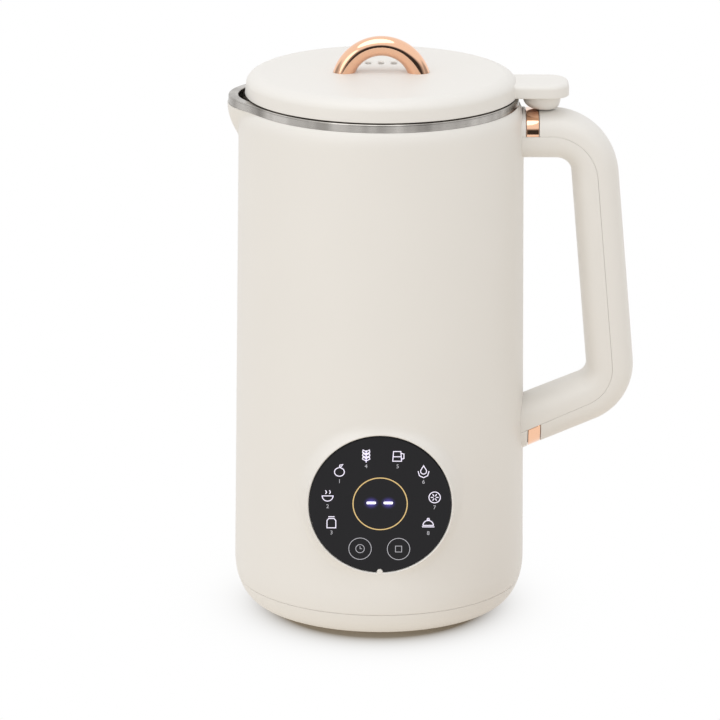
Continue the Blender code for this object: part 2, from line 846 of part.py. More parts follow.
def make_lid_shell(parent, materials):
    steps = 5
    outer = [(0, lid_bottom), (lid_radius, lid_bottom), (lid_radius - lid_draft, lid_shoulder)]
    for step in range(1, steps + 1):
        turn = math.pi / 2 * step / steps
        radius = lid_flat_radius + (lid_radius - lid_draft - lid_flat_radius) * math.cos(turn)
        outer.append((radius, lid_shoulder + (lid_top - lid_shoulder) * math.sin(turn)))
    outer.append((0, lid_top))
    shell = add_piece("lid_shell", turned(outer, sides_body), materials["cream"], parent)

    # The tongue has round corners, and its top edge is rounded by the last three levels
    steps = 4
    diagonal = math.cos(math.pi / 4)
    levels = (
        (lid_bottom, 0),
        (tongue_top - tongue_edge, 0),
        (tongue_top - tongue_edge * (1 - diagonal), tongue_edge * (1 - diagonal)),
        (tongue_top, tongue_edge),
    )
    rings = []
    for height, inset in levels:
        side = tongue_half_width - inset
        bend = tongue_corner - inset
        ring = [(lid_flat_radius, -side, height)]
        for sign, start in ((-1, -math.pi / 2), (1, 0)):
            for step in range(steps + 1):
                turn = start + math.pi / 2 * step / steps
                x = tongue_reach - tongue_corner + bend * math.cos(turn)
                ring.append((x, sign * (side - bend) + bend * math.sin(turn), height))
        ring.append((lid_flat_radius, side, height))
        rings.append(ring)
    combine(shell, add_cutter("lid_tongue", skinned(rings), parent), "UNION")

    wall_radius = lid_radius - lid_wall
    hollow = [
        (0, lid_bottom - overrun),
        (wall_radius, lid_bottom - overrun),
        (wall_radius, lid_shoulder - lid_wall),
        (lid_flat_radius, lid_top - lid_wall),
        (0, lid_top - lid_wall),
    ]
    combine(shell, add_cutter("lid_hollow", turned(hollow, sides_cup), parent))
    pocket_top = lid_bottom + spigot_height + gap
    pocket = cylinder(spigot_radius + gap, lid_bottom - overrun, pocket_top, sides_inner, bowl_place)
    combine(shell, add_cutter("spigot_pocket", pocket, parent))

    low, high = lid_shoulder - lid_wall, lid_top + overrun
    cutters = []
    for step in (-1, 0, 1):
        outline = slot_outline(vent_width, vent_length, vent_pitch * step, vent_back)
        cutters.append(prism(outline, low, high))
    for side in (-1, 1):
        place = side * arch_screw_place
        cutters.append(cylinder(arch_screw_radius + gap, low, high, sides_small, place))
    combine(shell, add_cutter("lid_vents_and_holes", merged(*cutters), parent))


def make_lid_liner(parent, materials):
    flange_top = liner_flange_height + liner_wall
    inner = liner_radius - liner_wall
    groove = liner_radius - seal_groove
    seal_top = seal_low + seal_height
    profile = [
        (0, liner_bottom),
        (liner_radius - liner_wall, liner_bottom),
        (liner_radius, liner_bottom + liner_wall),
        (liner_radius, seal_low - gap),
        (groove, seal_low - gap),
        (groove, seal_top + gap),
        (liner_radius, seal_top + gap),
        (liner_radius, liner_flange_height),
        (liner_flange_radius, liner_flange_height),
        (liner_flange_radius, flange_top),
        (inner - seal_groove, flange_top),
        (inner - seal_groove, liner_bottom + liner_wall),
        (0, liner_bottom + liner_wall),
    ]
    liner = add_piece("lid_liner", turned(profile, sides_round), materials["cream_inner"], parent)
    low, high = liner_bottom - overrun, liner_bottom + liner_wall + overrun
    holes = [cylinder(probe_radius + gap, low, high, sides_small, probe_place)]
    for step in (-1, 0, 1):
        holes.append(cylinder(steam_hole_radius, low, high, sides_small, vent_pitch * step, vent_back))
    combine(liner, add_cutter("liner_holes", merged(*holes), parent))

    seal = [
        (groove + gap, seal_low),
        (cup_radius - gap, seal_low),
        (cup_radius - gap, seal_top),
        (groove + gap, seal_top),
    ]
    add_piece("lid_seal", turned(seal, sides_round), materials["silicone"], parent)
    head_low = liner_bottom + liner_wall + gap
    tip = probe_radius / 2
    probe = [
        (0, probe_tip),
        (tip, probe_tip),
        (probe_radius, probe_tip + tip),
        (probe_radius, head_low),
        (probe_head_radius, head_low),
        (probe_head_radius, head_low + probe_head_height),
        (0, head_low + probe_head_height),
    ]
    add_piece("overflow_probe", turned(probe, sides_small), materials["steel"], parent, (probe_place, 0, 0))


def make_lid_arch(parent, materials):
    rise = arch_top - arch_tube - lid_top
    bend = (arch_half_chord**2 + rise**2) / (2 * rise)
    centre = lid_top + rise - bend
    # The tube starts a little below the lid's top and is cut flat there
    end = math.asin((lid_top - centre) / bend) - arch_overlap
    rings = []
    for step in range(arch_steps + 1):
        share = step / arch_steps
        turn = end + (math.pi - 2 * end) * share
        tube = arch_tube + (arch_foot_tube - arch_tube) * abs(2 * share - 1) ** 3
        ring = []
        for across, side in circle(arch_sides):
            reach = bend + tube * across
            ring.append((reach * math.cos(turn), tube * side, centre + reach * math.sin(turn)))
        rings.append(ring)
    arch = add_piece("lid_arch_handle", skinned(rings), materials["rose_gold"], parent)
    foot = lid_top + gap
    under = block((-bend * 2, -bend, centre - bend), (bend * 2, bend, foot))
    combine(arch, add_cutter("arch_foot_cutter", under, parent))
    hole_end = foot + arch_screw_reach + gap
    holes = [
        cylinder(arch_screw_radius + gap, lid_top - overrun, hole_end, sides_small, side * arch_screw_place)
        for side in (-1, 1)
    ]
    combine(arch, add_cutter("arch_screw_holes", merged(*holes), parent))
    head_low = lid_top - lid_wall - gap - arch_screw_head
    for name, side in (("left", -1), ("right", 1)):
        screw = screw_profile(
            arch_screw_head_radius, arch_screw_head, arch_screw_radius, foot + arch_screw_reach - head_low
        )
        place = (side * arch_screw_place, 0, head_low)
        add_piece(f"arch_screw_{name}", turned(screw, sides_small), materials["zinc"], parent, place)


def make_lid_coupler(parent, materials):
    bowl_top = lid_bottom - gap
    bowl_low = handle_top + gap
    rings = []
    for step in range(bowl_steps + 1):
        turn = math.pi / 2 * step / bowl_steps
        share = math.sin(turn)
        radius = bowl_foot_radius + (bowl_radius - bowl_foot_radius) * share
        middle = bowl_foot_place + (bowl_place - bowl_foot_place) * share
        height = bowl_low + (bowl_top - bowl_low) * (1 - math.cos(turn))
        rings.append([(middle + radius * c, radius * s, height) for c, s in circle(sides_round)])
    for height in (bowl_top, lid_bottom + spigot_height):
        ring = [(bowl_place + spigot_radius * c, spigot_radius * s, height) for c, s in circle(sides_round)]
        rings.append(ring)
    coupler = add_piece("lid_coupler", skinned(rings), materials["cream"], parent)
    hole_end = bowl_low + pin_root + gap
    holes = [
        cylinder(
            pin_radius + gap, bowl_low - overrun, hole_end, sides_small, bowl_foot_place, side * pin_spread
        )
        for side in (-1, 1)
    ]
    combine(coupler, add_cutter("coupler_pin_holes", merged(*holes), parent))
    for name, side in (("front", -1), ("rear", 1)):
        tip = pin_radius / 2
        low = bowl_low - pin_reach
        pin = [(0, low), (tip, low), (pin_radius, low + tip), (pin_radius, bowl_low + pin_root)]
        pin.append((0, bowl_low + pin_root))
        place = (bowl_foot_place, side * pin_spread, 0)
        add_piece(f"coupler_pin_{name}", turned(pin, sides_small), materials["brass"], parent, place)


# Handle

def rounded_path(points, rounds, steps):
    # A polyline of four points whose two inner corners are rounded, with steps + 1 points on each arc
    path = [Vector(points[0])]
    for before, corner, after, radius in zip(points, points[1:], points[2:], rounds):
        corner = Vector(corner)
        back = (Vector(before) - corner).normalized()
        ahead = (Vector(after) - corner).normalized()
        half = back.angle(ahead) / 2
        reach = radius / math.tan(half)
        centre = corner + (back + ahead).normalized() * (radius / math.sin(half))
        first = corner + back * reach - centre
        sweep = math.pi - 2 * half
        for step in range(steps + 1):
            turn = -sweep * step / steps
            path.append(centre + Matrix.Rotation(turn, 2) @ first)
    path.append(Vector(points[-1]))
    return path


def handle_stations():
    outer = rounded_path(
        [
            (handle_root, handle_top),
            (shoulder_reach, handle_top),
            (heel_reach, heel_height),
            (handle_root, heel_root_height),
        ],
        (shoulder_round, heel_round),
        bend_steps,
    )
    inner = rounded_path(
        [
            (handle_root, grip_gap_top),
            (grip_gap_reach, grip_gap_top),
            (grip_heel_reach, grip_heel_height),
            (handle_root, grip_root_height),
        ],
        (grip_gap_round, grip_heel_round),
        bend_steps,
    )
    return list(zip(outer, inner))


def handle_section(outer, inner, inset, is_cover):
    # One half of the rounded section between an outer and an inner point, cut flat at the seam
    middle = (outer + inner) / 2
    across = (outer - inner).normalized()
    half_depth = (outer - inner).length / 2
    seam = half_depth - cover_depth
    seam += seam_gap / 2 if is_cover else -seam_gap / 2
    seam_turn = math.asin(math.copysign(abs(seam / half_depth) ** (handle_squareness / 2), seam))
    first, last = seam_turn, math.pi - seam_turn
    if not is_cover:
        first, last = math.pi - seam_turn, math.tau + seam_turn
    points = []
    for step in range(section_steps + 1):
        turn = first + (last - first) * step / section_steps
        wide = math.copysign(abs(math.cos(turn)) ** (2 / handle_squareness), math.cos(turn))
        deep = math.copysign(abs(math.sin(turn)) ** (2 / handle_squareness), math.sin(turn))
        place = middle + across * (deep * (half_depth - inset))
        points.append((place.x, wide * (handle_half_width - inset), place.y))
    return points


def handle_half(inset, is_cover):
    return skinned([handle_section(outer, inner, inset, is_cover) for outer, inner in handle_stations()])


def shell_root_cutter(parent):
    # The shell's own outline and a clearance, which the handle's roots are cut to
    low, high = skirt_height, shell_top
    profile = [(0, low), (shell_radius(low) + gap, low), (shell_radius(high) + gap, high), (0, high)]
    return add_cutter("handle_root_cutter", turned(profile, sides_body), parent)


def trim_box(name, start, end, low, high, room, parent):
    side = handle_half_width + overrun
    box = block((start - room, -side, low), (end + room, side, high))
    return add_cutter(name, box, parent)


def make_handle(parent, materials):
    root_cutter = shell_root_cutter(parent)
    grip = add_piece("handle_grip", handle_half(0, False), materials["cream"], parent)
    combine(grip, root_cutter)
    cover = add_piece("handle_cover", handle_half(0, True), materials["cream"], parent)
    combine(cover, root_cutter)

    middle_height = (grip_gap_top + grip_heel_height) / 2
    trims = (
        ("upper", upper_trim_start, upper_trim_end, middle_height, handle_top + overrun),
        ("lower", lower_trim_start, lower_trim_end, heel_root_height - overrun, middle_height),
    )
    for name, start, end, low, high in trims:
        groove = trim_box(f"trim_{name}_groove", start, end, low, high, gap, parent)
        core = add_cutter(f"trim_{name}_groove_core", handle_half(trim_thickness + gap, True), parent)
        combine(groove, core)
        combine(cover, groove)
        trim = add_piece(f"trim_{name}", handle_half(0, True), materials["rose_gold"], parent)
        combine(trim, add_cutter(f"trim_{name}_core", handle_half(trim_thickness, True), parent))
        combine(trim, trim_box(f"trim_{name}_box", start, end, low, high, 0, parent), "INTERSECT")

    # Each screw goes from inside the shell into the grip
    for name, height in (("upper", upper_screw_height), ("lower", lower_screw_height)):
        place = ((0, 0, height), (0, math.pi / 2, 0))
        low = shell_radius(height) - shell_wall - 2 * gap - handle_screw_head
        hole = cylinder(handle_screw_radius + gap, low, handle_screw_end + gap, sides_small)
        combine(grip, add_cutter(f"grip_{name}_screw_hole", hole, parent, *place))
        screw = screw_profile(
            handle_screw_head_radius, handle_screw_head, handle_screw_radius, handle_screw_end - low
        )
        screw = turned(screw, sides_small)
        screw.transform(Matrix.Translation((0, 0, low)))
        add_piece(f"handle_screw_{name}", screw, materials["zinc"], parent, *place)

    # The socket that takes the lid's coupler pins
    low, high = handle_top - socket_depth, handle_top - gap
    pocket = cylinder(socket_radius + gap, low - gap, handle_top + overrun, sides_small, bowl_foot_place)
    combine(cover, add_cutter("socket_pocket", pocket, parent))
    socket = cylinder(socket_radius, low, high, sides_small, bowl_foot_place)
    socket = add_piece("coupler_socket", socket, materials["black_plastic"], parent)
    holes = [
        cylinder(
            pin_radius + gap,
            handle_top - socket_hole_depth,
            handle_top + overrun,
            sides_small,
            bowl_foot_place,
            side * pin_spread,
        )
        for side in (-1, 1)
    ]
    combine(socket, add_cutter("coupler_socket_holes", merged(*holes), parent))


# Heating

def make_heating(parent, materials):
    plate_top = cup_floor - cup_wall - gap
    plate_low = plate_top - heat_plate_thickness
    plate = turned(
        [
            (heat_plate_hole, plate_low),
            (heat_plate_radius, plate_low),
            (heat_plate_radius, plate_top),
            (heat_plate_hole, plate_top),
        ],
        sides_round,
    )
    add_piece("heat_plate", plate, materials["aluminium"], parent)

    # An open ring of tube, with its ends towards the back
    centre = plate_low - gap - heater_tube_radius
    start = math.pi / 2 + heater_open_angle
    sweep = math.tau - 2 * heater_open_angle
    rings = []
    for step in range(heater_steps + 1):
        turn = start + sweep * step / heater_steps
        ring = []
        for out, up in circle(heater_sides):
            radius = heater_ring_radius + heater_tube_radius * out
            height = centre + heater_tube_radius * up
            ring.append((radius * math.cos(turn), radius * math.sin(turn), height))
        rings.append(ring)
    add_piece("heater_tube", skinned(rings), materials["steel"], parent)
    high = plate_low - gap
    low = high - thermostat_height
    thermostat = cylinder(thermostat_radius, low, high, sides_small, 0, -thermostat_place)
    add_piece("thermostat", thermostat, materials["black_plastic"], parent)


def make_shaft_housing(parent, materials):
    bore = shaft_radius + gap
    seal_low_height = housing_top - seal_ring_height
    low = cup_floor + gap
    profile = [
        (bore, housing_low),
        (housing_stem_radius, housing_low),
        (housing_stem_radius, low),
        (housing_radius, low),
        (housing_radius, housing_top - housing_edge),
        (housing_radius - housing_edge, housing_top),
        (seal_ring_radius + gap, housing_top),
        (seal_ring_radius + gap, seal_low_height - gap),
        (bore, seal_low_height - gap),
    ]
    add_piece("shaft_housing", turned(profile, sides_inner), materials["aluminium"], parent)
    seal = [
        (bore, seal_low_height),
        (seal_ring_radius, seal_low_height),
        (seal_ring_radius, housing_top - gap),
        (bore, housing_top - gap),
    ]
    add_piece("shaft_seal", turned(seal, sides_inner), materials["silicone"], parent)


# Motor

def make_stator(parent, materials):
    inner = stator_radius - stator_wall
    steps = 8

    def arc(radius, first, last):
        turns = [first + (last - first) * step / steps for step in range(steps + 1)]
        return [(radius * math.cos(turn), radius * math.sin(turn)) for turn in turns]

    stator = cylinder(stator_radius, stator_low, stator_high, sides_round)
    stator = add_piece("motor_stator", stator, materials["iron"], parent)
    # The bore between the poles, with a pocket for the coils on each side of them
    outline = []
    for turn in (0, math.pi):
        outline += arc(pole_inner_radius, turn - pole_half_angle, turn + pole_half_angle)
        outline += arc(inner, turn + pole_half_angle, turn + math.pi - pole_half_angle)
    bore = prism(outline, stator_low - overrun, stator_high + overrun)
    combine(stator, add_cutter("stator_bore", bore, parent))

    # Each coil is one closed loop round its pole
    middle = (stator_low + stator_high) / 2
    half_height = (stator_high - stator_low) / 2 + coil_overhang
    loop_steps = 24
    for name, side in (("left", math.pi), ("right", 0)):
        path = []
        for step in range(loop_steps):
            turn = math.tau * step / loop_steps
            across = math.copysign(abs(math.cos(turn)) ** coil_corner_share, math.cos(turn))
            up = math.copysign(abs(math.sin(turn)) ** coil_corner_share, math.sin(turn))
            angle = side + coil_half_angle * across
            path.append(
                Vector(
                    (
                        coil_ring_radius * math.cos(angle),
                        coil_ring_radius * math.sin(angle),
                        middle + half_height * up,
                    )
                )
            )
        rings = []
        for here, point in enumerate(path):
            along = (path[(here + 1) % loop_steps] - path[here - 1]).normalized()
            out = Vector((point.x, point.y, 0)).normalized()
            sideways = along.cross(out).normalized()
            out = sideways.cross(along)
            rings.append([point + (out * c + sideways * s) * coil_wire_radius for c, s in circle(6)])
        add_piece(f"field_coil_{name}", skinned(rings, closed=True), materials["copper"], parent)


def cross_outline(reach, half_width):
    # Four arms on the diagonals
    points = []
    for number in range(4):
        turn = math.pi / 4 + math.pi / 2 * number
        c, s = math.cos(turn), math.sin(turn)
        for along, aside in ((half_width, -half_width), (reach, -half_width), (reach, half_width)):
            points.append((along * c - aside * s, along * s + aside * c))
    return points


def make_lower_bracket(parent, materials):
    high = lower_bracket_high
    bearing_low = high - bearing_height
    hub_low = bearing_low - bracket_floor
    hub = cylinder(hub_radius, hub_low, high, sides_inner)
    bracket = add_piece("motor_bracket_lower", hub, materials["aluminium"], parent)
    arms = prism(cross_outline(base_screw_place, arm_width / 2), lower_bracket_low, high - bracket_step)
    combine(bracket, add_cutter("lower_bracket_arms", arms, parent), "UNION")
    legs, posts = [], []
    for x, y in base_screw_places():
        legs.append(cylinder(post_radius, base_floor + gap, high - 2 * bracket_step, sides_small, x, y))
        share = stator_post_place / base_screw_place
        low = lower_bracket_low + bracket_step
        posts.append(cylinder(post_radius, low, stator_low - gap, sides_small, x * share, y * share))
    combine(bracket, add_cutter("lower_bracket_legs", merged(*legs), parent), "UNION")
    combine(bracket, add_cutter("lower_bracket_posts", merged(*posts), parent), "UNION")
    seat = [
        (0, hub_low - overrun),
        (collar_radius + gap, hub_low - overrun),
        (collar_radius + gap, bearing_low - gap),
        (bearing_radius + gap, bearing_low - gap),
        (bearing_radius + gap, high + overrun),
        (0, high + overrun),
    ]
    cutters = [turned(seat, sides_inner)]
    for x, y in base_screw_places():
        cutters.append(cylinder(base_screw_radius + gap, 0, base_screw_end + gap, sides_small, x, y))
    combine(bracket, add_cutter("lower_bracket_holes", merged(*cutters), parent))
    add_bearing("lower_bearing", bearing_low, parent, materials)


def make_upper_bracket(parent, materials):
    low = upper_bracket_low
    high = low + upper_bracket_thickness
    bearing_low = low + bracket_floor
    hub = cylinder(hub_radius, low, upper_hub_high, sides_inner)
    bracket = add_piece("motor_bracket_upper", hub, materials["aluminium"], parent)
    arms = prism(cross_outline(stator_post_place + post_radius, arm_width / 2), low + bracket_step, high)
    combine(bracket, add_cutter("upper_bracket_arms", arms, parent), "UNION")
    top = cup_floor - cup_wall - heat_plate_thickness - 2 * gap
    feet, posts = [], []
    for x, y in base_screw_places():
        share = stator_post_place / base_screw_place
        foot_low, foot_high = stator_high + gap, high - bracket_step
        feet.append(cylinder(post_radius, foot_low, foot_high, sides_small, x * share, y * share))
        share = upper_post_place / base_screw_place
        posts.append(cylinder(post_radius, low + 2 * bracket_step, top, sides_small, x * share, y * share))
    combine(bracket, add_cutter("upper_bracket_feet", merged(*feet), parent), "UNION")
    combine(bracket, add_cutter("upper_bracket_posts", merged(*posts), parent), "UNION")
    seat = [
        (0, low - overrun),
        (collar_radius + gap, low - overrun),
        (collar_radius + gap, bearing_low - gap),
        (bearing_radius + gap, bearing_low - gap),
        (bearing_radius + gap, upper_hub_high + overrun),
        (0, upper_hub_high + overrun),
    ]
    combine(bracket, add_cutter("upper_bracket_seat", turned(seat, sides_inner), parent))
    add_bearing("upper_bearing", bearing_low, parent, materials)


def add_bearing(name, low, parent, materials):
    bore = shaft_radius + gap
    high = low + bearing_height
    ring = turned([(bore, low), (bearing_radius, low), (bearing_radius, high), (bore, high)], sides_inner)
    add_piece(name, ring, materials["zinc"], parent)


def make_brush_holders(parent, materials):
    low = lower_bracket_high + gap
    start = commutator_radius + brush_gap
    for name, side in (("front", -1), ("back", 1)):
        near, far = side * start, side * (start + brush_length)
        holder = block(
            (-brush_width / 2, min(near, far), low),
            (brush_width / 2, max(near, far), low + brush_height),
        )
        add_piece(f"brush_holder_{name}", holder, materials["brass"], parent)


def make_rotor(parent, materials):
    seat = lower_bracket_high + gap
    blade_seat = blade_height - gap
    shaft_top = blade_height + blade_thickness + gap + nut_height + gap
    shaft = [
        (0, shaft_low),
        (shaft_radius, shaft_low),
        (shaft_radius, seat),
        (collar_radius, seat),
        (collar_radius, seat + collar_height / 2),
        (shaft_radius, seat + collar_height / 2),
        (shaft_radius, blade_seat - collar_height),
        (collar_radius, blade_seat - collar_height),
        (collar_radius, blade_seat),
        (shaft_radius, blade_seat),
        (shaft_radius, shaft_top),
        (0, shaft_top),
    ]
    add_piece("rotor_shaft", turned(shaft, sides_inner), materials["zinc"], parent)
    bore = [((shaft_radius + gap) * c, (shaft_radius + gap) * s) for c, s in circle(sides_inner)]

    outline = []
    for slot in range(core_slots):
        middle = math.tau * slot / core_slots
        wide = math.tau / core_slots * slot_share / 2
        for turn, radius in (
            (middle - wide, core_radius),
            (middle - wide, core_radius - slot_depth),
            (middle + wide, core_radius - slot_depth),
            (middle + wide, core_radius),
        ):
            outline.append((radius * math.cos(turn), radius * math.sin(turn)))
    core = prism(outline, stator_low + gap, stator_high - gap)
    core = add_piece("rotor_core", core, materials["iron"], parent)
    core_bore = prism(bore, stator_low - overrun, stator_high + overrun)
    combine(core, add_cutter("rotor_core_bore", core_bore, parent))

    ring = turned(
        [
            (shaft_radius + gap, commutator_low),
            (commutator_radius, commutator_low),
            (commutator_radius, commutator_high),
            (shaft_radius + gap, commutator_high),
        ],
        sides_inner,
    )
    add_piece("commutator", ring, materials["copper"], parent)

    fan = cylinder(fan_radius, fan_low, fan_low + fan_plate, sides_round)
    fan = add_piece("cooling_fan", fan, materials["black_plastic"], parent)
    hub = cylinder(fan_hub_radius, fan_low + fan_plate / 2, fan_high, sides_small)
    combine(fan, add_cutter("fan_hub", hub, parent), "UNION")
    blades = []
    for number in range(fan_blades):
        blade = block(
            (fan_hub_radius + fan_plate, -fan_blade_thickness / 2, fan_low + fan_plate / 2),
            (fan_radius - fan_plate, fan_blade_thickness / 2, fan_high),
        )
        blades.append(turned_about_z(blade, math.tau * number / fan_blades))
    combine(fan, add_cutter("fan_blades", merged(*blades), parent), "UNION")
    combine(fan, add_cutter("fan_bore", prism(bore, fan_low - overrun, fan_high + overrun), parent))
    make_blade(parent, materials, bore)


def make_blade(parent, materials, bore):
    low, high = blade_height, blade_height + blade_thickness
    hub = cylinder(blade_hub_radius + gap, low, high, sides_inner)
    blade = add_piece("chopping_blade", hub, materials["steel"], parent)
    # Four wings, by turns bent up and a little down towards their tips
    half_width = blade_width / 2
    for number in range(4):
        rise = blade_rise if number % 2 else -blade_rise / 4
        rings = []
        for reach, lift, half in (
            (blade_hub_radius / 2, 0, half_width),
            (blade_length / 2, 0, half_width),
            (blade_length, rise, half_width * blade_tip_share),
        ):
            rings.append(
                [
                    (reach, -half, low + lift),
                    (reach, half, low + lift),
                    (reach, half, high + lift),
                    (reach, -half, high + lift),
                ]
            )
        wing = turned_about_z(skinned(rings), math.pi / 2 * number)
        combine(blade, add_cutter(f"blade_wing_{number + 1}", wing, parent), "UNION")
    combine(blade, add_cutter("blade_bore", prism(bore, low - overrun, high + overrun), parent))
    nut_low = high + gap
    nut_high = nut_low + nut_height
    nut = cylinder(nut_radius, nut_low, nut_high, 6)
    nut = add_piece("blade_nut", nut, materials["steel"], parent)
    combine(nut, add_cutter("nut_bore", prism(bore, nut_low - overrun, nut_high + overrun), parent))


# Power

inlet_frame = ((0, 0, inlet_height), (math.pi / 2, 0, math.pi))


def make_power_inlet(parent, materials):
    # The bezel and the front of the body follow the round of the shell
    near = skirt_radius + gap
    far = near + bezel_thickness
    root = [(inlet_half_width, inlet_root), (-inlet_half_width, inlet_root)]
    body = inlet_slab(inlet_arc(inlet_half_width, near + bezel_thickness / 2) + root, inlet_half_height)
    inlet = add_piece("power_inlet", body, materials["black_plastic"], parent, *inlet_frame)
    half_width = inlet_half_width + bezel_width
    outline = inlet_arc(half_width, far) + inlet_arc(half_width, near)[::-1]
    bezel = inlet_slab(outline, inlet_half_height + bezel_width)
    combine(inlet, add_cutter("inlet_bezel", bezel, parent, *inlet_frame), "UNION")
    wide, tall = inlet_half_width - inlet_wall, inlet_half_height - inlet_wall
    cavity = block((-wide, -tall, inlet_cavity_root), (wide, tall, far + overrun))
    combine(inlet, add_cutter("inlet_cavity", cavity, parent, *inlet_frame))
    slots = []
    for name, across, up in (
        ("live", -pin_pitch, -pin_offset),
        ("neutral", pin_pitch, -pin_offset),
        ("earth", 0, pin_offset),
    ):
        half = blade_pin_thickness / 2
        tall = blade_pin_height / 2
        low = inlet_root + inlet_wall
        pin = block((across - half, up - tall, low + gap), (across + half, up + tall, blade_pin_end))
        add_piece(f"inlet_pin_{name}", pin, materials["brass"], parent, *inlet_frame)
        slots.append(
            block(
                (across - half - gap, up - tall - gap, low),
                (across + half + gap, up + tall + gap, inlet_cavity_root + overrun),
            )
        )
    combine(inlet, add_cutter("inlet_pin_slots", merged(*slots), parent, *inlet_frame))


def inlet_arc(half_width, radius, steps=10):
    # (across, out) points from one side to the other
    places = [half_width * (2 * step / steps - 1) for step in range(steps + 1)]
    return [(x, math.sqrt(radius**2 - x**2)) for x in places]


def inlet_slab(outline, half_height):
    return skinned([[(x, height, out) for x, out in outline] for height in (-half_height, half_height)])


def make_power_board(parent, materials):
    low = base_floor + gap
    x = power_board_place
    board = block(
        (x, -power_board_half_width, low),
        (x + power_board_thickness, power_board_half_width, low + power_board_height),
    )
    board = add_piece("power_board", board, materials["board"], parent)
    # Each part's middle and half size as shares of the board's, and its depth as a share of the thickness
    face = x + power_board_thickness / 2
    for name, middle_share, height_share, half_share, tall_share, deep_share in (
        ("relay", -0.5, 0.45, 0.3, 0.2, 5.0),
        ("transformer", 0.45, 0.5, 0.35, 0.25, 5.6),
        ("connector", 0.0, 0.85, 0.5, 0.08, 3.4),
    ):
        y = middle_share * power_board_half_width
        z = low + height_share * power_board_height
        half, tall = half_share * power_board_half_width, tall_share * power_board_height
        deep = deep_share * power_board_thickness
        part = block((face, y - half, z - tall), (face + deep, y + half, z + tall))
        combine(board, add_cutter(f"board_{name}", part, parent), "UNION")


def main():
    clear_scene()
    bpy.context.scene.unit_settings.system = "METRIC"
    materials = make_materials()
    handle_reach = max(outer.x for outer, _ in handle_stations())
    back_reach = skirt_radius + gap + bezel_thickness
    middle = ((handle_reach - spout_reach) / 2, (back_reach - panel_face) / 2)
    body = add_empty("soy_milk_maker", (-middle[0], -middle[1], foot_stand))
    lid = add_empty("lid_slide", (0, 0, 0), body)
    rotor = add_empty("rotor_axis", (0, 0, 0), body)

    make_outer_shell(body, materials)
    make_inner_cup(body, materials)
    make_base_cover(body, materials)
    make_feet_and_screws(body, materials)
    make_panel(body, materials)
    make_lid_shell(lid, materials)
    make_lid_liner(lid, materials)
    make_lid_arch(lid, materials)
    make_lid_coupler(lid, materials)
    make_handle(body, materials)
    make_heating(body, materials)
    make_shaft_housing(body, materials)
    make_stator(body, materials)
    make_lower_bracket(body, materials)
    make_upper_bracket(body, materials)
    make_brush_holders(body, materials)
    make_rotor(rotor, materials)
    make_power_inlet(body, materials)
    make_power_board(body, materials)


main()
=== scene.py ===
import json
import math

import bmesh
import bpy
from mathutils import Matrix, Vector


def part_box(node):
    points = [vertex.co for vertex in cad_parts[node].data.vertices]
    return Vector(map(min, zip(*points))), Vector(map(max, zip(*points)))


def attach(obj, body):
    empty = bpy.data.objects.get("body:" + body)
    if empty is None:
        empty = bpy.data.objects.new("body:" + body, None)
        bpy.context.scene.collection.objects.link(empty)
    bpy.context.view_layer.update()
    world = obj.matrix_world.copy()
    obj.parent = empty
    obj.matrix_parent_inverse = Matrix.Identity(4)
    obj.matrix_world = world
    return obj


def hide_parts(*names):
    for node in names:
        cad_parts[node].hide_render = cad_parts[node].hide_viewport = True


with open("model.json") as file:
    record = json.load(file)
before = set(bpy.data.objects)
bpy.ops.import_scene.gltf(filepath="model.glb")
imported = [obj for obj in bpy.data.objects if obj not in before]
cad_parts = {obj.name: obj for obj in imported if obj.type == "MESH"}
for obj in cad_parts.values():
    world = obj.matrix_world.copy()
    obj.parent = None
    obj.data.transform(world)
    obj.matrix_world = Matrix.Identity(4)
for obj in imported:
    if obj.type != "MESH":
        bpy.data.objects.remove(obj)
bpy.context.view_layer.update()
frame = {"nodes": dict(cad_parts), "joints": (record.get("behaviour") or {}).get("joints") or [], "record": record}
print("frame loaded")

# Everything stands round the motor's axis, and heights run up from the underside of the base cover
rotorJoint = next(joint for joint in frame["joints"] if joint["name"] == "rotor_spin")
origin = Vector((rotorJoint["pos_m"][0], rotorJoint["pos_m"][1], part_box("base_cover")[0].z))
seatGap = 0.0003  # between pieces that rest on or fit in each other
weldReach = 1e-6  # points nearer than this are one point
brokenShare = 0.3  # a broken edge bends at this share of its width
millimetre = 0.001


# Materials

def linear(hexColour):
    # An sRGB hex value as a linear colour
    channels = [int(hexColour[start:start + 2], 16) / 255 for start in (1, 3, 5)]
    return tuple(c / 12.92 if c <= 0.04045 else ((c + 0.055) / 1.055) ** 2.4 for c in channels) + (1.0,)


def feed(node, inputs):
    # Keyed by the input's name or number. A node stands for its first output in use, and the rest are plain values.
    for key, source in inputs.items():
        if isinstance(source, bpy.types.Node):
            source = next(output for output in source.outputs if output.enabled)
        if isinstance(source, bpy.types.NodeSocket):
            node.id_data.links.new(source, node.inputs[key])
        else:
            node.inputs[key].default_value = source
    return node


def addNode(tree, kind, inputs=None, **settings):
    # settings are the node's own properties, such as its operation
    node = tree.nodes.new(kind)
    for name, value in settings.items():
        setattr(node, name, value)
    return feed(node, inputs or {})


def newMaterial(name, hexColour, **shaderValues):
    # The material with its tree, its shader and the place on the object in metres. shaderValues go by the names of
    # the shader's inputs, with _ for a space.
    material = bpy.data.materials.new(name)
    material.use_nodes = True
    tree = material.node_tree
    shader = tree.nodes["Principled BSDF"]
    feed(shader, {"Base Color": linear(hexColour)})
    feed(shader, {key.replace("_", " "): value for key, value in shaderValues.items()})
    return material, tree, shader, addNode(tree, "ShaderNodeTexCoord").outputs["Object"]


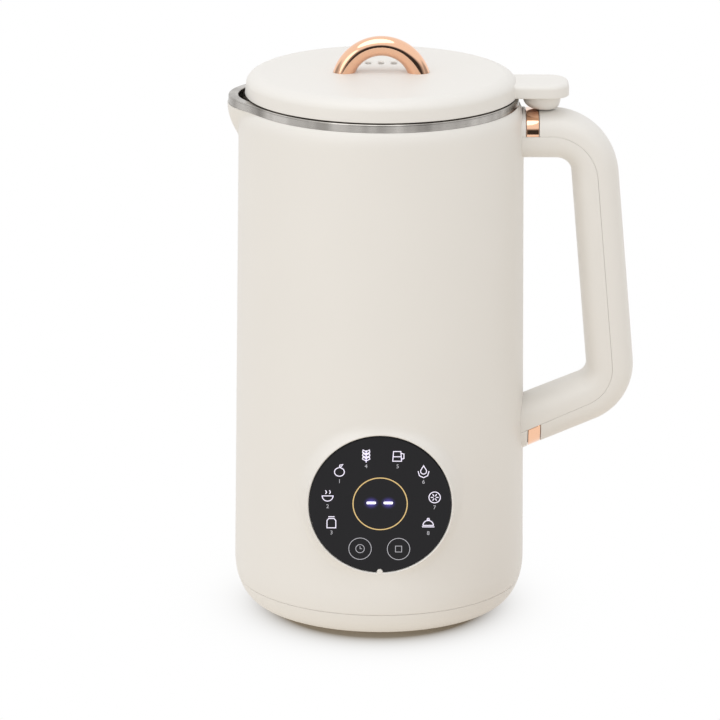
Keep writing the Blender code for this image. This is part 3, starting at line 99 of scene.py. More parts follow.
def texturedBy(tree, shader, pattern, roughnessRange, bumpHeight):
    # One pattern breaks up the gloss and raises the surface by bumpHeight
    low, high = roughnessRange
    span = {"Value": pattern, "From Min": 0.3, "From Max": 0.7, "To Min": low, "To Max": high}
    spread = addNode(tree, "ShaderNodeMapRange", span)
    bump = addNode(tree, "ShaderNodeBump", {"Height": pattern, "Strength": 1.0, "Distance": bumpHeight})
    feed(shader, {"Roughness": spread, "Normal": bump})


def fineTextured(name, hexColour, roughnessRange, size, height, detail=3.0, coarseness=0.5, **shaderValues):
    # An even colour with a random texture, of cells of this size that stand up by this height
    material, tree, shader, point = newMaterial(name, hexColour, **shaderValues)
    noise = {"Vector": point, "Scale": 1 / size, "Detail": detail, "Roughness": coarseness}
    cells = addNode(tree, "ShaderNodeTexNoise", noise)
    texturedBy(tree, shader, cells, roughnessRange, height)
    return material


def mouldedPlastic(name, hexColour, paleHex, roughness, peelSize, peelHeight):
    # Injection-moulded plastic: an even colour with a soft gloss, and slow changes of tone where the melt flowed
    material, tree, shader, point = newMaterial(name, hexColour, IOR=1.54)
    flow = addNode(tree, "ShaderNodeTexNoise", {"Vector": point, "Scale": 1 / 0.030, "Detail": 1.0})
    tones = {"Factor": flow, "A": linear(hexColour), "B": linear(paleHex)}
    feed(shader, {"Base Color": addNode(tree, "ShaderNodeMix", tones, data_type="RGBA")})
    peel = addNode(tree, "ShaderNodeTexNoise", {"Vector": point, "Scale": 1 / peelSize, "Detail": 2.0})
    texturedBy(tree, shader, peel, (roughness - 0.03, roughness + 0.03), peelHeight)
    return material


def brushedStainless():
    # Stainless steel, spun and brushed: hair lines run round the axis, and patches of it catch more light
    material, tree, shader, point = newMaterial("brushedStainless", "#B9B5B0", Metallic=1.0, Anisotropic=0.5)
    centred = addNode(tree, "ShaderNodeMapping", {"Vector": point, "Location": (-origin.x, -origin.y, 0)})
    place = addNode(tree, "ShaderNodeSeparateXYZ", {"Vector": centred}).outputs
    flat = addNode(tree, "ShaderNodeCombineXYZ", {"X": place["X"], "Y": place["Y"]})
    radius = addNode(tree, "ShaderNodeVectorMath", {0: flat}, operation="LENGTH")
    slow = addNode(tree, "ShaderNodeVectorMath", {0: flat, "Scale": 0.02}, operation="SCALE")
    drift = addNode(tree, "ShaderNodeSeparateXYZ", {"Vector": slow}).outputs
    height = addNode(tree, "ShaderNodeMath", {0: place["Z"], 1: drift["X"]}, operation="ADD")
    hair = addNode(tree, "ShaderNodeCombineXYZ", {"X": radius, "Y": height, "Z": drift["Y"]})
    grit = {"Vector": hair, "Scale": 1 / 0.0004, "Detail": 3.0, "Roughness": 0.6}  # coarser than the real 0.1 mm
    lines = addNode(tree, "ShaderNodeTexNoise", grit)
    patches = addNode(tree, "ShaderNodeTexNoise", {"Vector": flat, "Scale": 1 / 0.016, "Detail": 2.0})
    contrast = addNode(tree, "ShaderNodeMapRange", {"Value": patches, "From Min": 0.36, "From Max": 0.64})
    tones = {"Factor": contrast, "A": linear("#8A8681"), "B": linear("#C9C5C0")}
    tone = addNode(tree, "ShaderNodeMix", tones, data_type="RGBA")
    # Down in the cup the steel is painted brighter than at its rim: painted light that lifts the shade inside the cup
    span = {"Value": place["Z"], "From Min": origin.z + 0.205, "From Max": origin.z + 0.185}
    paintedCupLight = {"Factor": addNode(tree, "ShaderNodeMapRange", span), "A": tone, "B": linear("#EFEDEA")}
    feed(shader, {"Base Color": addNode(tree, "ShaderNodeMix", paintedCupLight, data_type="RGBA")})
    texturedBy(tree, shader, lines, (0.18, 0.32), 0.00001)
    return material


def smokedAcrylic(name, **shaderValues):
    # Smoked acrylic, polished: almost black, with a clear sharp gloss and a faint smear of wiping
    return fineTextured(
        name, "#222225", (0.07, 0.14), 0.012, 0.000001, IOR=1.49, Specular_IOR_Level=0.15, **shaderValues
    )


def litAcrylic(name, glowHex, glow):
    # The same acrylic lit from behind, by the halo value on its points
    material = smokedAcrylic(name, Emission_Color=linear(glowHex))
    tree = material.node_tree
    halo = addNode(tree, "ShaderNodeAttribute", attribute_name="halo").outputs["Fac"]
    level = addNode(tree, "ShaderNodeMath", {0: halo, 1: glow}, operation="MULTIPLY")
    feed(tree.nodes["Principled BSDF"], {"Emission Strength": level})
    return material


def grained(name, hexColour, roughness, grain, grainHeight, **shaderValues):
    # Matt elastomer with its dusty grain, or cast and plated metal with its small pits and frosting
    spread = (roughness - 0.08, roughness + 0.08)
    return fineTextured(name, hexColour, spread, grain, grainHeight, coarseness=0.6, **shaderValues)


def layered(name, hexColour, direction, pitch, roughnessRange, layerHeight):
    # Metal in fine layers: enamelled copper turns side by side, or stamped sheets stacked with dark joints
    material, tree, shader, point = newMaterial(name, hexColour, Metallic=1.0)
    # At scale one the wave repeats every 0.314 of a unit
    wave = {"Vector": point, "Scale": 0.314 / pitch, "Distortion": 0.2}
    layers = addNode(tree, "ShaderNodeTexWave", wave, wave_type="BANDS", bands_direction=direction)
    texturedBy(tree, shader, layers.outputs["Fac"], roughnessRange, layerHeight)
    return material


def solderMask():
    # Epoxy glass board under green solder mask: the weave of the glass shows faintly
    material, tree, shader, point = newMaterial("solderMask", "#17502C", IOR=1.5)
    checks = {"Vector": point, "Color1": linear("#164C2A"), "Color2": linear("#1B5A33"), "Scale": 1 / 0.0006}
    weave = addNode(tree, "ShaderNodeTexChecker", checks)
    feed(shader, {"Base Color": weave})
    texturedBy(tree, shader, weave.outputs["Fac"], (0.3, 0.4), 0.00001)
    return material


def printedInk(name, hexColour, glow):
    # Screen-printed ink behind the lens, lit a little from behind
    shaderValues = {"IOR": 1.5, "Emission_Color": linear(hexColour), "Emission_Strength": glow}
    return fineTextured(name, hexColour, (0.45, 0.6), 0.0003, 0.000002, 1.0, **shaderValues)


finishes = {
    "cream_plastic": mouldedPlastic("glossMouldedAbs", "#EAE7E2", "#ECE9E4", 0.46, 0.0012, 0.000004),
    "cream_inner_plastic": mouldedPlastic("mouldedPolypropylene", "#E4DFD7", "#E7E2DB", 0.5, 0.0008, 0.000006),
    "black_plastic": mouldedPlastic("blackMouldedNylon", "#1C1C1D", "#202021", 0.45, 0.0006, 0.00001),
    "brushed_steel": brushedStainless(),
    # Rose gold plated over polished plastic and lacquered: a near mirror with a faint ripple and pale highlights
    "rose_gold_plating": fineTextured(
        "roseGoldPlating", "#F6C3A0", (0.06, 0.11), 0.006, 0.00002, 1.0,
        Metallic=1.0, Coat_Weight=1.0, Coat_Roughness=0.05,
    ),
    "black_lens": smokedAcrylic("tintedAcrylic"),
    "grey_silicone": grained("greySilicone", "#B9B8B5", 0.55, 0.0006, 0.00002, IOR=1.45),
    "dark_rubber": grained("darkRubber", "#2B2B2B", 0.75, 0.0005, 0.00002, IOR=1.45),
    "dark_foam": grained("darkFoam", "#3A3A3B", 0.85, 0.0009, 0.00008, IOR=1.45),
    "zinc_plated_steel": grained("zincPlatedSteel", "#C4C6C8", 0.32, 0.0010, 0.00001, Metallic=1.0),
    "cast_aluminium": grained("castAluminium", "#C2C2C2", 0.45, 0.0007, 0.00003, Metallic=1.0),
    "brass": grained("stampedBrass", "#D9B676", 0.28, 0.0012, 0.000008, Metallic=1.0),
    "copper_winding": layered("enamelledCopperWire", "#B4663A", "DIAGONAL", 0.0012, (0.22, 0.4), 0.0001),
    "laminated_iron": layered("stackedLaminations", "#6B6C70", "Z", 0.0010, (0.35, 0.6), 0.00008),
    "green_board": solderMask(),
}
inks = {
    "white": printedInk("lavenderInk", "#DAD6E8", 0.55), "grey": printedInk("greyInk", "#ACACB4", 0.36),
    "gold": printedInk("goldInk", "#D7B97D", 0.25), "lit": printedInk("displayLamp", "#F3F0FF", 1.4),
    "halo": litAcrylic("displayHalo", "#6A5CD0", 1.1),
}

for subpart in frame["record"]["subparts"]:
    mesh = frame["nodes"][subpart["node"]].data
    mesh.materials.clear()
    mesh.materials.append(finishes[subpart["material_slot"]])
print("materials made")


# Mesh helpers, in the body's own frame

def unitCircle(sides):
    return [(math.cos(math.tau * step / sides), math.sin(math.tau * step / sides)) for step in range(sides)]


def quarterTurn(steps):
    # The sine and cosine of even steps through a right angle
    turns = [math.pi / 2 * step / steps for step in range(steps + 1)]
    return [(math.sin(turn), math.cos(turn)) for turn in turns]


def circleAt(radius, height, sides, centre=(0, 0)):
    return [(centre[0] + radius * c, centre[1] + radius * s, height) for c, s in unitCircle(sides)]


def roundedCorners(corners, steps=6):
    # Points of a polyline of (across, up, radius) corners, each turned into an arc of its radius
    points = []
    for index, (x, y, radius) in enumerate(corners):
        if not radius:
            points.append((x, y))
            continue
        corner = Vector((x, y))
        before = (Vector(corners[index - 1][:2]) - corner).normalized()
        after = (Vector(corners[(index + 1) % len(corners)][:2]) - corner).normalized()
        half = before.angle(after) / 2
        centre = corner + (before + after).normalized() * (radius / math.sin(half))
        first = corner + before * (radius / math.tan(half)) - centre
        last = corner + after * (radius / math.tan(half)) - centre
        start = math.atan2(first.y, first.x)
        sweep = math.remainder(math.atan2(last.y, last.x) - start, math.tau)
        for step in range(steps + 1):
            turn = start + sweep * step / steps
            points.append((centre.x + radius * math.cos(turn), centre.y + radius * math.sin(turn)))
    return points


def addLoops(bm, rings):
    return [[bm.verts.new(point) for point in ring] for ring in rings]


def joinLoops(bm, loops, around=True, closed=False):
    # Quads between neighbouring loops of vertices
    pairs = list(zip(loops, loops[1:])) + ([(loops[-1], loops[0])] if closed else [])
    for lower, upper in pairs:
        count = len(lower)
        for here in range(count if around else count - 1):
            there = (here + 1) % count
            bm.faces.new((lower[here], lower[there], upper[there], upper[here]))


def skinned(rings, closed=False, bm=None):
    bm = bm or bmesh.new()
    loops = addLoops(bm, rings)
    joinLoops(bm, loops, True, closed)
    if not closed:
        bm.faces.new(loops[0])
        bm.faces.new(loops[-1])
    return bm


def fillFlat(bm, loops, normal=(0, 0, 1)):
    # A flat face with holes, between an outer loop and the loops in it
    edges = []
    for loop in loops:
        for here, there in zip(loop, loop[1:] + loop[:1]):
            edges.append(bm.edges.get((here, there)) or bm.edges.new((here, there)))
    bmesh.ops.triangle_fill(bm, edges=edges, use_beauty=True, normal=normal)


def turned(profile, sides=128, centre=(0, 0), bm=None):
    # (radius, height) points spun round a vertical line. A profile off the axis closes into a ring.
    rings = [circleAt(radius, height, sides, centre) for radius, height in profile]
    return skinned(rings, min(radius for radius, _ in profile) > weldReach, bm)


def weld(bm):
    bmesh.ops.remove_doubles(bm, verts=bm.verts, dist=weldReach)
    bmesh.ops.recalc_face_normals(bm, faces=bm.faces)
    return bm


def toMesh(name, bm):
    mesh = bpy.data.meshes.new(name)
    bm.to_mesh(mesh)
    bm.free()
    return mesh


def placed(name, data):
    thing = bpy.data.objects.new(name, data)
    bpy.context.scene.collection.objects.link(thing)
    return thing


def meshNow(thing):
    # The object's shape with its modifiers, as a plain mesh
    graph = bpy.context.evaluated_depsgraph_get()
    return bpy.data.meshes.new_from_object(thing.evaluated_get(graph))


def bakeModifiers(piece):
    baked, old = meshNow(piece), piece.data
    piece.modifiers.clear()
    piece.data = baked
    bpy.data.meshes.remove(old)
    baked.name = piece.name


def makePiece(name, bm, finish, body, nodes, sharp=32, bevel=0.0):
    mesh = toMesh(name, weld(bm))
    mesh.transform(Matrix.Translation(origin))
    finishPiece(name, mesh, finish, body, nodes, sharp, bevel)


def finishPiece(name, mesh, finish, body, nodes=(), sharp=32, bevel=0.0):
    # Rounds the sharp edges where asked, and hands the piece to its body. finish is a key of finishes, which is the
    # slot too, or the ink of something printed.
    piece = placed(name, mesh)
    if bevel:
        modifier = piece.modifiers.new("edgeRound", "BEVEL")
        modifier.width = bevel
        modifier.segments = 3
        modifier.limit_method = "ANGLE"
        modifier.angle_limit = math.radians(50)
        bakeModifiers(piece)
    mesh = piece.data
    mesh.materials.clear()
    mesh.materials.append(finishes.get(finish, finish))
    mesh.shade_smooth()
    mesh.set_sharp_from_angle(angle=math.radians(sharp))
    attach(piece, body)
    if nodes:
        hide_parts(*nodes)


def nodeGroup(name, inputs):
    # An empty geometry tree with the given named inputs
    tree = bpy.data.node_groups.new(name, "GeometryNodeTree")
    for direction in ("OUTPUT", "INPUT"):
        tree.interface.new_socket("Geometry", in_out=direction, socket_type="NodeSocketGeometry")
    for label, kind in inputs.items():
        tree.interface.new_socket(label, in_out="INPUT", socket_type="NodeSocket" + kind)
    return tree


def finishTree(tree, shape, finish):
    # Each tree ends with real faces in their material
    real = addNode(tree, "GeometryNodeRealizeInstances", {"Geometry": shape})
    dressed = addNode(tree, "GeometryNodeSetMaterial", {"Geometry": real, "Material": finish})
    addNode(tree, "NodeGroupOutput", {"Geometry": dressed})
    return tree


def runTree(name, mesh, tree, values):
    # Gives the tree's result as a plain mesh
    holder = placed(name + "Tree", mesh)
    modifier = holder.modifiers.new("nodes", "NODES")
    modifier.node_group = tree
    for socket in tree.interface.items_tree:
        if socket.name in values:
            modifier[socket.identifier] = values[socket.name]
    result = meshNow(holder)
    bpy.data.objects.remove(holder)
    result.name = name
    return result


# Outer shell

shell = {
    "skirtRadius": 0.0620, "skirtHeight": 0.0185, "baseRadius": 0.0520, "footPower": 2.0, "neckRadius": 0.0600,
    "neckHeight": 0.2000, "bottom": 0.0102, "top": 0.2173, "wall": 0.0022, "shoulder": (0.0088, 0.0019),
    "bottomEdge": 0.00015, "columns": 180, "crowded": math.radians(44), "crowding": 0.4, "rows": (16, 87, 12, 12),
}
lip = {
    "rimRadius": 0.0579, "reach": 0.0642, "halfAngle": math.radians(34), "depth": 0.0148,
    "curve": 2.0, "taper": 3.0, "least": 0.1, "proud": 0.0004, "fold": 0.0004, "foldRound": 0.0003,
}
panel = {
    "height": 0.0595, "face": 0.0625, "lensRadius": 0.0296, "lensThickness": 0.0020, "lensInset": 0.0002,
    "lensEdge": 0.0003, "windowRadius": 0.0275, "lip": 0.0008, "flare": 0.0053, "flareCurve": 2.3, "edge": 0.0006,
    "nibRadius": 0.0013, "nibRise": 0.0001, "nibSunk": -0.0003, "nibEdge": 0.0005, "nibFace": 0.4,
    "flareSteps": 12, "edgeSteps": 4, "halfColumns": 22, "lowRow": 0.0190, "highRow": 0.1005,
}
inlet = {
    "height": 0.0300, "halfWidth": 0.0140, "halfHeight": 0.0098, "root": 0.0420, "cavityRoot": 0.0470,
    "wall": 0.0016, "bezel": 0.0024, "bezelThickness": 0.0014, "corner": 0.0022, "chamfer": 0.0036, "edge": 0.0005,
    "halfColumns": 7, "lowRow": 0.0190, "highRow": 0.0408,
}


def shellRadius(height):
    if height >= shell["skirtHeight"]:
        along = (height - shell["skirtHeight"]) / (shell["neckHeight"] - shell["skirtHeight"])
        return shell["skirtRadius"] + (shell["neckRadius"] - shell["skirtRadius"]) * along
    drop, power = (shell["skirtHeight"] - max(height, 0)) / shell["skirtHeight"], shell["footPower"]
    return shell["baseRadius"] + (shell["skirtRadius"] - shell["baseRadius"]) * (1 - drop**power) ** (1 / power)


# Seen from above the lip is a round nose, its centre nosePlace from the axis, with straight flanks to the rim
lipGrowth = lip["reach"] - lip["rimRadius"]
nosePlace = lipGrowth / (1 - math.cos(lip["halfAngle"]))
noseRadius = lip["reach"] - nosePlace
noseHalfAngle = math.atan2(
    noseRadius * math.sin(lip["halfAngle"]), nosePlace + noseRadius * math.cos(lip["halfAngle"])
)
swellShare = (lip["reach"] + lip["proud"] + lip["fold"] - shellRadius(shell["top"])) / lipGrowth


def lipSwell(angle, drop):
    # How far the pouring lip stands out of the rim's circle. drop runs from 0 at the rim to 1 below.
    if drop >= 1:
        return 0
    width = lip["least"] + (1 - lip["least"]) * (1 - drop) ** lip["taper"]
    turn = abs(math.remainder(angle - math.pi, math.tau)) / width
    if turn >= lip["halfAngle"]:
        return 0
    if turn > noseHalfAngle:
        outline = lip["rimRadius"] / math.cos(lip["halfAngle"] - turn)
    else:
        across = nosePlace * math.sin(turn)
        outline = nosePlace * math.cos(turn) + math.sqrt(noseRadius**2 - across**2)
    return (outline - lip["rimRadius"]) * (1 - drop ** lip["curve"])


def shellRows():
    # (height, inset) of each row, from the bottom edge to the top edge
    edge, (tall, deep) = shell["bottomEdge"], shell["shoulder"]
    skirtRows, wallRows, fairingRows, shoulderRows = shell["rows"]
    rows = [(shell["bottom"], edge), (shell["bottom"] + edge, 0)]
    first = math.asin(1 - (shell["bottom"] + edge) / shell["skirtHeight"])
    for step in range(1, skirtRows + 1):
        rows.append((shell["skirtHeight"] * (1 - math.sin(first * (1 - step / skirtRows))), 0))
    fairingLow, shoulderLow = shell["top"] - lip["depth"], shell["top"] - tall
    for low, high, steps in ((shell["skirtHeight"], fairingLow, wallRows), (fairingLow, shoulderLow, fairingRows)):
        rows += [(low + (high - low) * step / steps, 0) for step in range(1, steps + 1)]
    for step in range(1, shoulderRows + 1):
        rows.append((shell["top"] - tall * (1 - step / shoulderRows), deep * (step / shoulderRows) ** 3))
    return rows


def wallDepth(across, height, inset=0.0):
    # How far the wall stands out towards the panel at a point of it
    return math.sqrt((shellRadius(height) - inset) ** 2 - across**2)


def holeLoop(grid, columns, rows):
    # The vertices round a rectangular hole in the grid, anticlockwise from its low left corner
    (left, right), (low, high) = columns, rows
    count = shell["columns"]
    loop = [grid[low][column % count] for column in range(left, right)]
    loop += [grid[row][right % count] for row in range(low, high)]
    loop += [grid[high][column % count] for column in range(right, left, -1)]
    loop += [grid[row][left % count] for row in range(high, low, -1)]
    return loop


def columnAngle(column):
    # The columns crowd together at the pouring lip, where the wall bends most
    angle = math.tau * column / shell["columns"] - math.pi / 2
    aside = math.remainder(angle - math.pi, math.tau) / shell["crowded"]
    if abs(aside) < 1:
        return math.pi + shell["crowded"] * aside * (shell["crowding"] + (1 - shell["crowding"]) * aside**2)
    return angle


def makeOuterShell():
    bm = bmesh.new()
    rows = shellRows()
    count = shell["columns"]
    walls = []
    for isInner in (False, True):
        wall = []
        for height, inset in rows:
            inset = shell["wall"] if isInner else inset
            drop = (shell["top"] - height) / lip["depth"]
            ring = []
            for column in range(count):
                angle = columnAngle(column)
                swell = lipSwell(angle, drop)
                beside = 1 if isInner else 1 - swell / lipGrowth
                swell = swellShare * swell - lip["fold"]
                # The fairing meets the wall at a soft crease
                swell = (swell + math.hypot(swell, lip["foldRound"])) / 2
                reach = shellRadius(height) + swell - inset * beside
                ring.append(bm.verts.new((reach * math.cos(angle), reach * math.sin(angle), height)))
            wall.append(ring)
        walls.append(wall)

    def rowAt(height):
        return next(index for index, row in enumerate(rows) if row[0] >= height)

    holes = []
    for sizes, middle in ((panel, 0), (inlet, count // 2)):
        columns = (middle - sizes["halfColumns"], middle + sizes["halfColumns"])
        holes.append((columns, (rowAt(sizes["lowRow"]), rowAt(sizes["highRow"]))))

    for wall in walls:
        for low in range(len(rows) - 1):
            for column in range(count):
                inHole = (
                    lowest <= low < highest and (column - first) % count < last - first
                    for (first, last), (lowest, highest) in holes
                )
                if not any(inHole):
                    there = (column + 1) % count
                    bm.faces.new((wall[low][column], wall[low][there], wall[low + 1][there], wall[low + 1][column]))
    joinLoops(bm, [walls[0][-1], walls[1][-1]])
    joinLoops(bm, [walls[0][0], walls[1][0]])

    # The inlet's opening goes straight through, and the panel's place is a round patch in each wall
    joinLoops(bm, [holeLoop(wall, *holes[1]) for wall in walls])
    outside, inside = (holeLoop(wall, *holes[0]) for wall in walls)
    turns = [math.atan2(vert.co.z - panel["height"], vert.co.x) for vert in outside]
    lipRadius = panel["lensRadius"] + panel["lip"]
    endRadius = lipRadius + panel["flare"]
    pocketRadius = panel["lensRadius"] + seatGap
    ledge = panel["face"] - panel["lensInset"] - panel["lensThickness"] - seatGap
    loops = [outside]

    def addRing(pointOf):
        ring = []
        for index, turn in enumerate(turns):
            across, height, depth = pointOf(index, math.cos(turn), math.sin(turn))
            ring.append(bm.verts.new((across, -depth, height)))
        loops.append(ring)

    def spreadRing(edge, share, radius, inset):
        # Between a round ring and the square hole
        def pointOf(index, c, s):
            across = radius * c + (edge[index].co.x - radius * c) * share
            up = panel["height"] + radius * s
            up += (edge[index].co.z - up) * share
            return across, up, wallDepth(across, up, inset)
        addRing(pointOf)

    def roundRing(radius, depth):
        addRing(lambda index, c, s: (radius * c, panel["height"] + radius * s, depth))

    for share in (0.8, 0.6, 0.4, 0.2):
        spreadRing(outside, share, endRadius, 0)
    for step in range(panel["flareSteps"] + 1):
        share = 1 - step / panel["flareSteps"]

        def flarePoint(index, c, s, share=share):
            radius = lipRadius + panel["flare"] * share
            start = wallDepth(lipRadius * c, panel["height"] + lipRadius * s)
            surface = wallDepth(radius * c, panel["height"] + radius * s)
            rise = (panel["face"] - start) * (1 - share) ** panel["flareCurve"]
            return radius * c, panel["height"] + radius * s, surface + rise
        addRing(flarePoint)
    edge = panel["edge"]
    for s, c in quarterTurn(panel["edgeSteps"]):
        roundRing(pocketRadius + edge * (1 - s), panel["face"] - edge * (1 - c))
    roundRing(pocketRadius, ledge)
    roundRing(panel["windowRadius"], ledge)
    for share in (0, 0.2, 0.4, 0.6, 0.8):
        spreadRing(inside, share, panel["windowRadius"], shell["wall"])
    joinLoops(bm, loops + [inside])

    # The nib in the pocket's wall that keys the lens
    wide, front = panel["nibRadius"], panel["face"] + panel["nibRise"]
    centre = panel["height"] - pocketRadius - panel["nibSunk"]
    flat = wide * panel["nibFace"]
    nib = roundedCorners([(wide, ledge - seatGap, 0), (wide, front, panel["nibEdge"]), (flat, front, 0)])
    skinned([[(radius * c, -depth, centre + radius * s) for c, s in unitCircle(32)] for radius, depth in nib], bm=bm)
    makePiece("outerShell", bm, "cream_plastic", "body", ["outer_shell"], 38)


makeOuterShell()
print("outer shell made")


# Steel cup with its rim and pouring lip

cup = {
    "radius": 0.0535, "wall": 0.0008, "floor": 0.0800, "corner": 0.0150, "rimTop": 0.2208, "rimSeam": 0.00003,
    "rimWidth": 0.0042, "rimEdge": 0.0006, "hole": 0.0063, "columns": 216, "bends": 12,
}


def makeCup():
    outer, rimLow = cup["radius"] + cup["wall"], shell["top"] + cup["rimSeam"]
    rim, rimTop, edge = lip["rimRadius"], cup["rimTop"], cup["rimEdge"]
    centre, rimInner, flatFrom = cup["floor"] + cup["corner"], rim - cup["rimWidth"], edge * 1.2
    profile = [(cup["hole"], cup["floor"] - cup["wall"], 1)]
    inside = [(cup["hole"], cup["floor"], 1)]
    for out, down in quarterTurn(cup["bends"]):
        bend = cup["radius"] - cup["corner"] * (1 - out)
        inside.append((bend, centre - cup["corner"] * down, 1))
        profile.append((bend + cup["wall"] * out, centre - (cup["corner"] + cup["wall"]) * down, 1))
    for step in range(cup["bends"] + 1):
        drop = 1 - step / cup["bends"]
        profile.append((outer, rimLow - lip["depth"] * drop, drop))
        inside.append((cup["radius"], rimLow - lip["depth"] * drop, drop))
    band = roundedCorners([
        (outer, rimLow, 0), (rim, rimLow, edge * 0.3), (rim, rimLow + edge, 0),
        (rim, rimTop - flatFrom, 0), (rim, rimTop, edge), (rim - flatFrom, rimTop, 0),
        (rimInner + flatFrom, rimTop, 0), (rimInner, rimTop, edge), (rimInner, rimLow + edge, 0),
    ])
    profile += [(radius, height, 0) for radius, height in band[1:]] + inside[::-1]
    rings = []
    for radius, height, drop in profile:
        ring = []
        for step in range(cup["columns"]):
            angle = math.tau * step / cup["columns"]
            reach = radius + lipSwell(angle, drop)
            ring.append((reach * math.cos(angle), reach * math.sin(angle), height))
        rings.append(ring)
    makePiece("steelCup", skinned(rings, closed=True), "brushed_steel", "body", ["inner_cup"], 40)


makeCup()
print("cup made")


# Base cover with its vents, and the feet and screws under it

base = {
    "wall": 0.0024, "floor": 0.0030, "seam": 0.01008, "spigot": 0.0040, "spigotWall": 0.0022, "skirtSteps": 16,
    "vents": 16, "ventWidth": 0.0030, "ventInner": 0.0140, "ventOuter": 0.0300,
    "footRadius": 0.0055, "footPlace": 0.0430, "footPocket": 0.0018, "footStand": 0.0010, "footEdge": 0.0006,
    "screwPlace": 0.0400, "screwRadius": 0.0015, "screwHead": 0.0030, "screwPocket": 0.0019,
    "headThickness": 0.0015, "screwTip": 0.0120, "crossDepth": 0.0009,
    # Shares of the screw head's radius: its flat face, its round, half the cross's width and the cross's reach
    "headFace": 0.78, "headRound": 0.2, "crossHalf": 0.22, "crossReach": 0.6, "crossTaper": 0.6,
}


def cutWith(piece, cutterMesh):
    cutter = placed("cutter", cutterMesh)
    modifier = piece.modifiers.new("cut", "BOOLEAN")
    modifier.object = cutter
    bakeModifiers(piece)
    bpy.data.objects.remove(cutter)


def makeBaseCover():
    profile = [(0, 0)]
    first = math.pi / 2
    last = math.asin(1 - (base["seam"] - shell["bottomEdge"]) / shell["skirtHeight"])
    for step in range(base["skirtSteps"] + 1):
        height = shell["skirtHeight"] * (1 - math.sin(first + (last - first) * step / base["skirtSteps"]))
        profile.append((shellRadius(height), height))
    spigot = shellRadius(shell["bottom"]) - shell["wall"] - seatGap
    profile += [
        (profile[-1][0] - shell["bottomEdge"], base["seam"]),
        (spigot, base["seam"]), (spigot, base["seam"] + base["spigot"]),
        (spigot - base["spigotWall"], base["seam"] + base["spigot"]), (spigot - base["spigotWall"], base["seam"]),
        (shell["baseRadius"] - base["wall"], base["floor"]), (0, base["floor"]),
    ]
    cutters = bmesh.new()
    half = base["ventWidth"] / 2
    below, above = -base["floor"], 2 * base["floor"]
    for step in range(base["vents"]):
        spoke = Matrix.Rotation(math.tau * (step + 0.5) / base["vents"], 4, "Z")
        outline = []
        for place, start in ((base["ventInner"] + half, math.pi / 2), (base["ventOuter"] - half, -math.pi / 2)):
            for arcStep in range(9):
                angle = start + math.pi * arcStep / 8
                outline.append((place + half * math.cos(angle), half * math.sin(angle)))
        skinned([[spoke @ Vector((x, y, z)) for x, y in outline] for z in (below, above)], bm=cutters)
    pocket, high = base["footRadius"] + seatGap, base["footPocket"]
    head, shank, seat = base["screwHead"] + seatGap, base["screwRadius"] + seatGap, base["screwPocket"]
    for c, s in unitCircle(4):
        centre = (base["footPlace"] * c, base["footPlace"] * s)
        turned([(0, below), (pocket, below), (pocket, high), (0, high)], 48, centre, cutters)
        diagonal = (base["screwPlace"] * (c - s) * math.sqrt(0.5), base["screwPlace"] * (c + s) * math.sqrt(0.5))
        stepped = [(0, below), (head, below), (head, seat), (shank, seat), (shank, above), (0, above)]
        turned(stepped, 32, diagonal, cutters)
    cutterMesh = toMesh("baseCuts", weld(cutters))

    bm = weld(turned(profile, 180))
    poles = [vert for vert in bm.verts if vert.co.xy.length < weldReach]
    bmesh.ops.dissolve_verts(bm, verts=poles)
    bmesh.ops.recalc_face_normals(bm, faces=bm.faces)
    piece = placed("baseCover", toMesh("baseCover", bm))
    cutWith(piece, cutterMesh)
    mesh = piece.data.copy()
    bpy.data.objects.remove(piece)
    mesh.transform(Matrix.Translation(origin))
    finishPiece("baseCover", mesh, "cream_plastic", "body", ["base_cover"])


def ringTree():
    # Sets copies of the incoming shape on a circle and turns each one outwards
    inputs = {"Count": "Int", "Ring Radius": "Float", "Start Angle": "Float", "Centre": "Vector", "Finish": "Material"}
    tree = nodeGroup("ringOfPieces", inputs)
    given = addNode(tree, "NodeGroupInput").outputs
    ring = addNode(tree, "GeometryNodeMeshCircle", {"Vertices": given["Count"], "Radius": given["Ring Radius"]})
    turn = addNode(tree, "ShaderNodeCombineXYZ", {"Z": given["Start Angle"]})
    where = {"Geometry": ring, "Translation": given["Centre"], "Rotation": turn}
    spots = addNode(tree, "GeometryNodeTransform", where)
    copies = addNode(tree, "GeometryNodeInstanceOnPoints", {"Points": spots, "Instance": given["Geometry"]})
    return finishTree(tree, copies, given["Finish"])


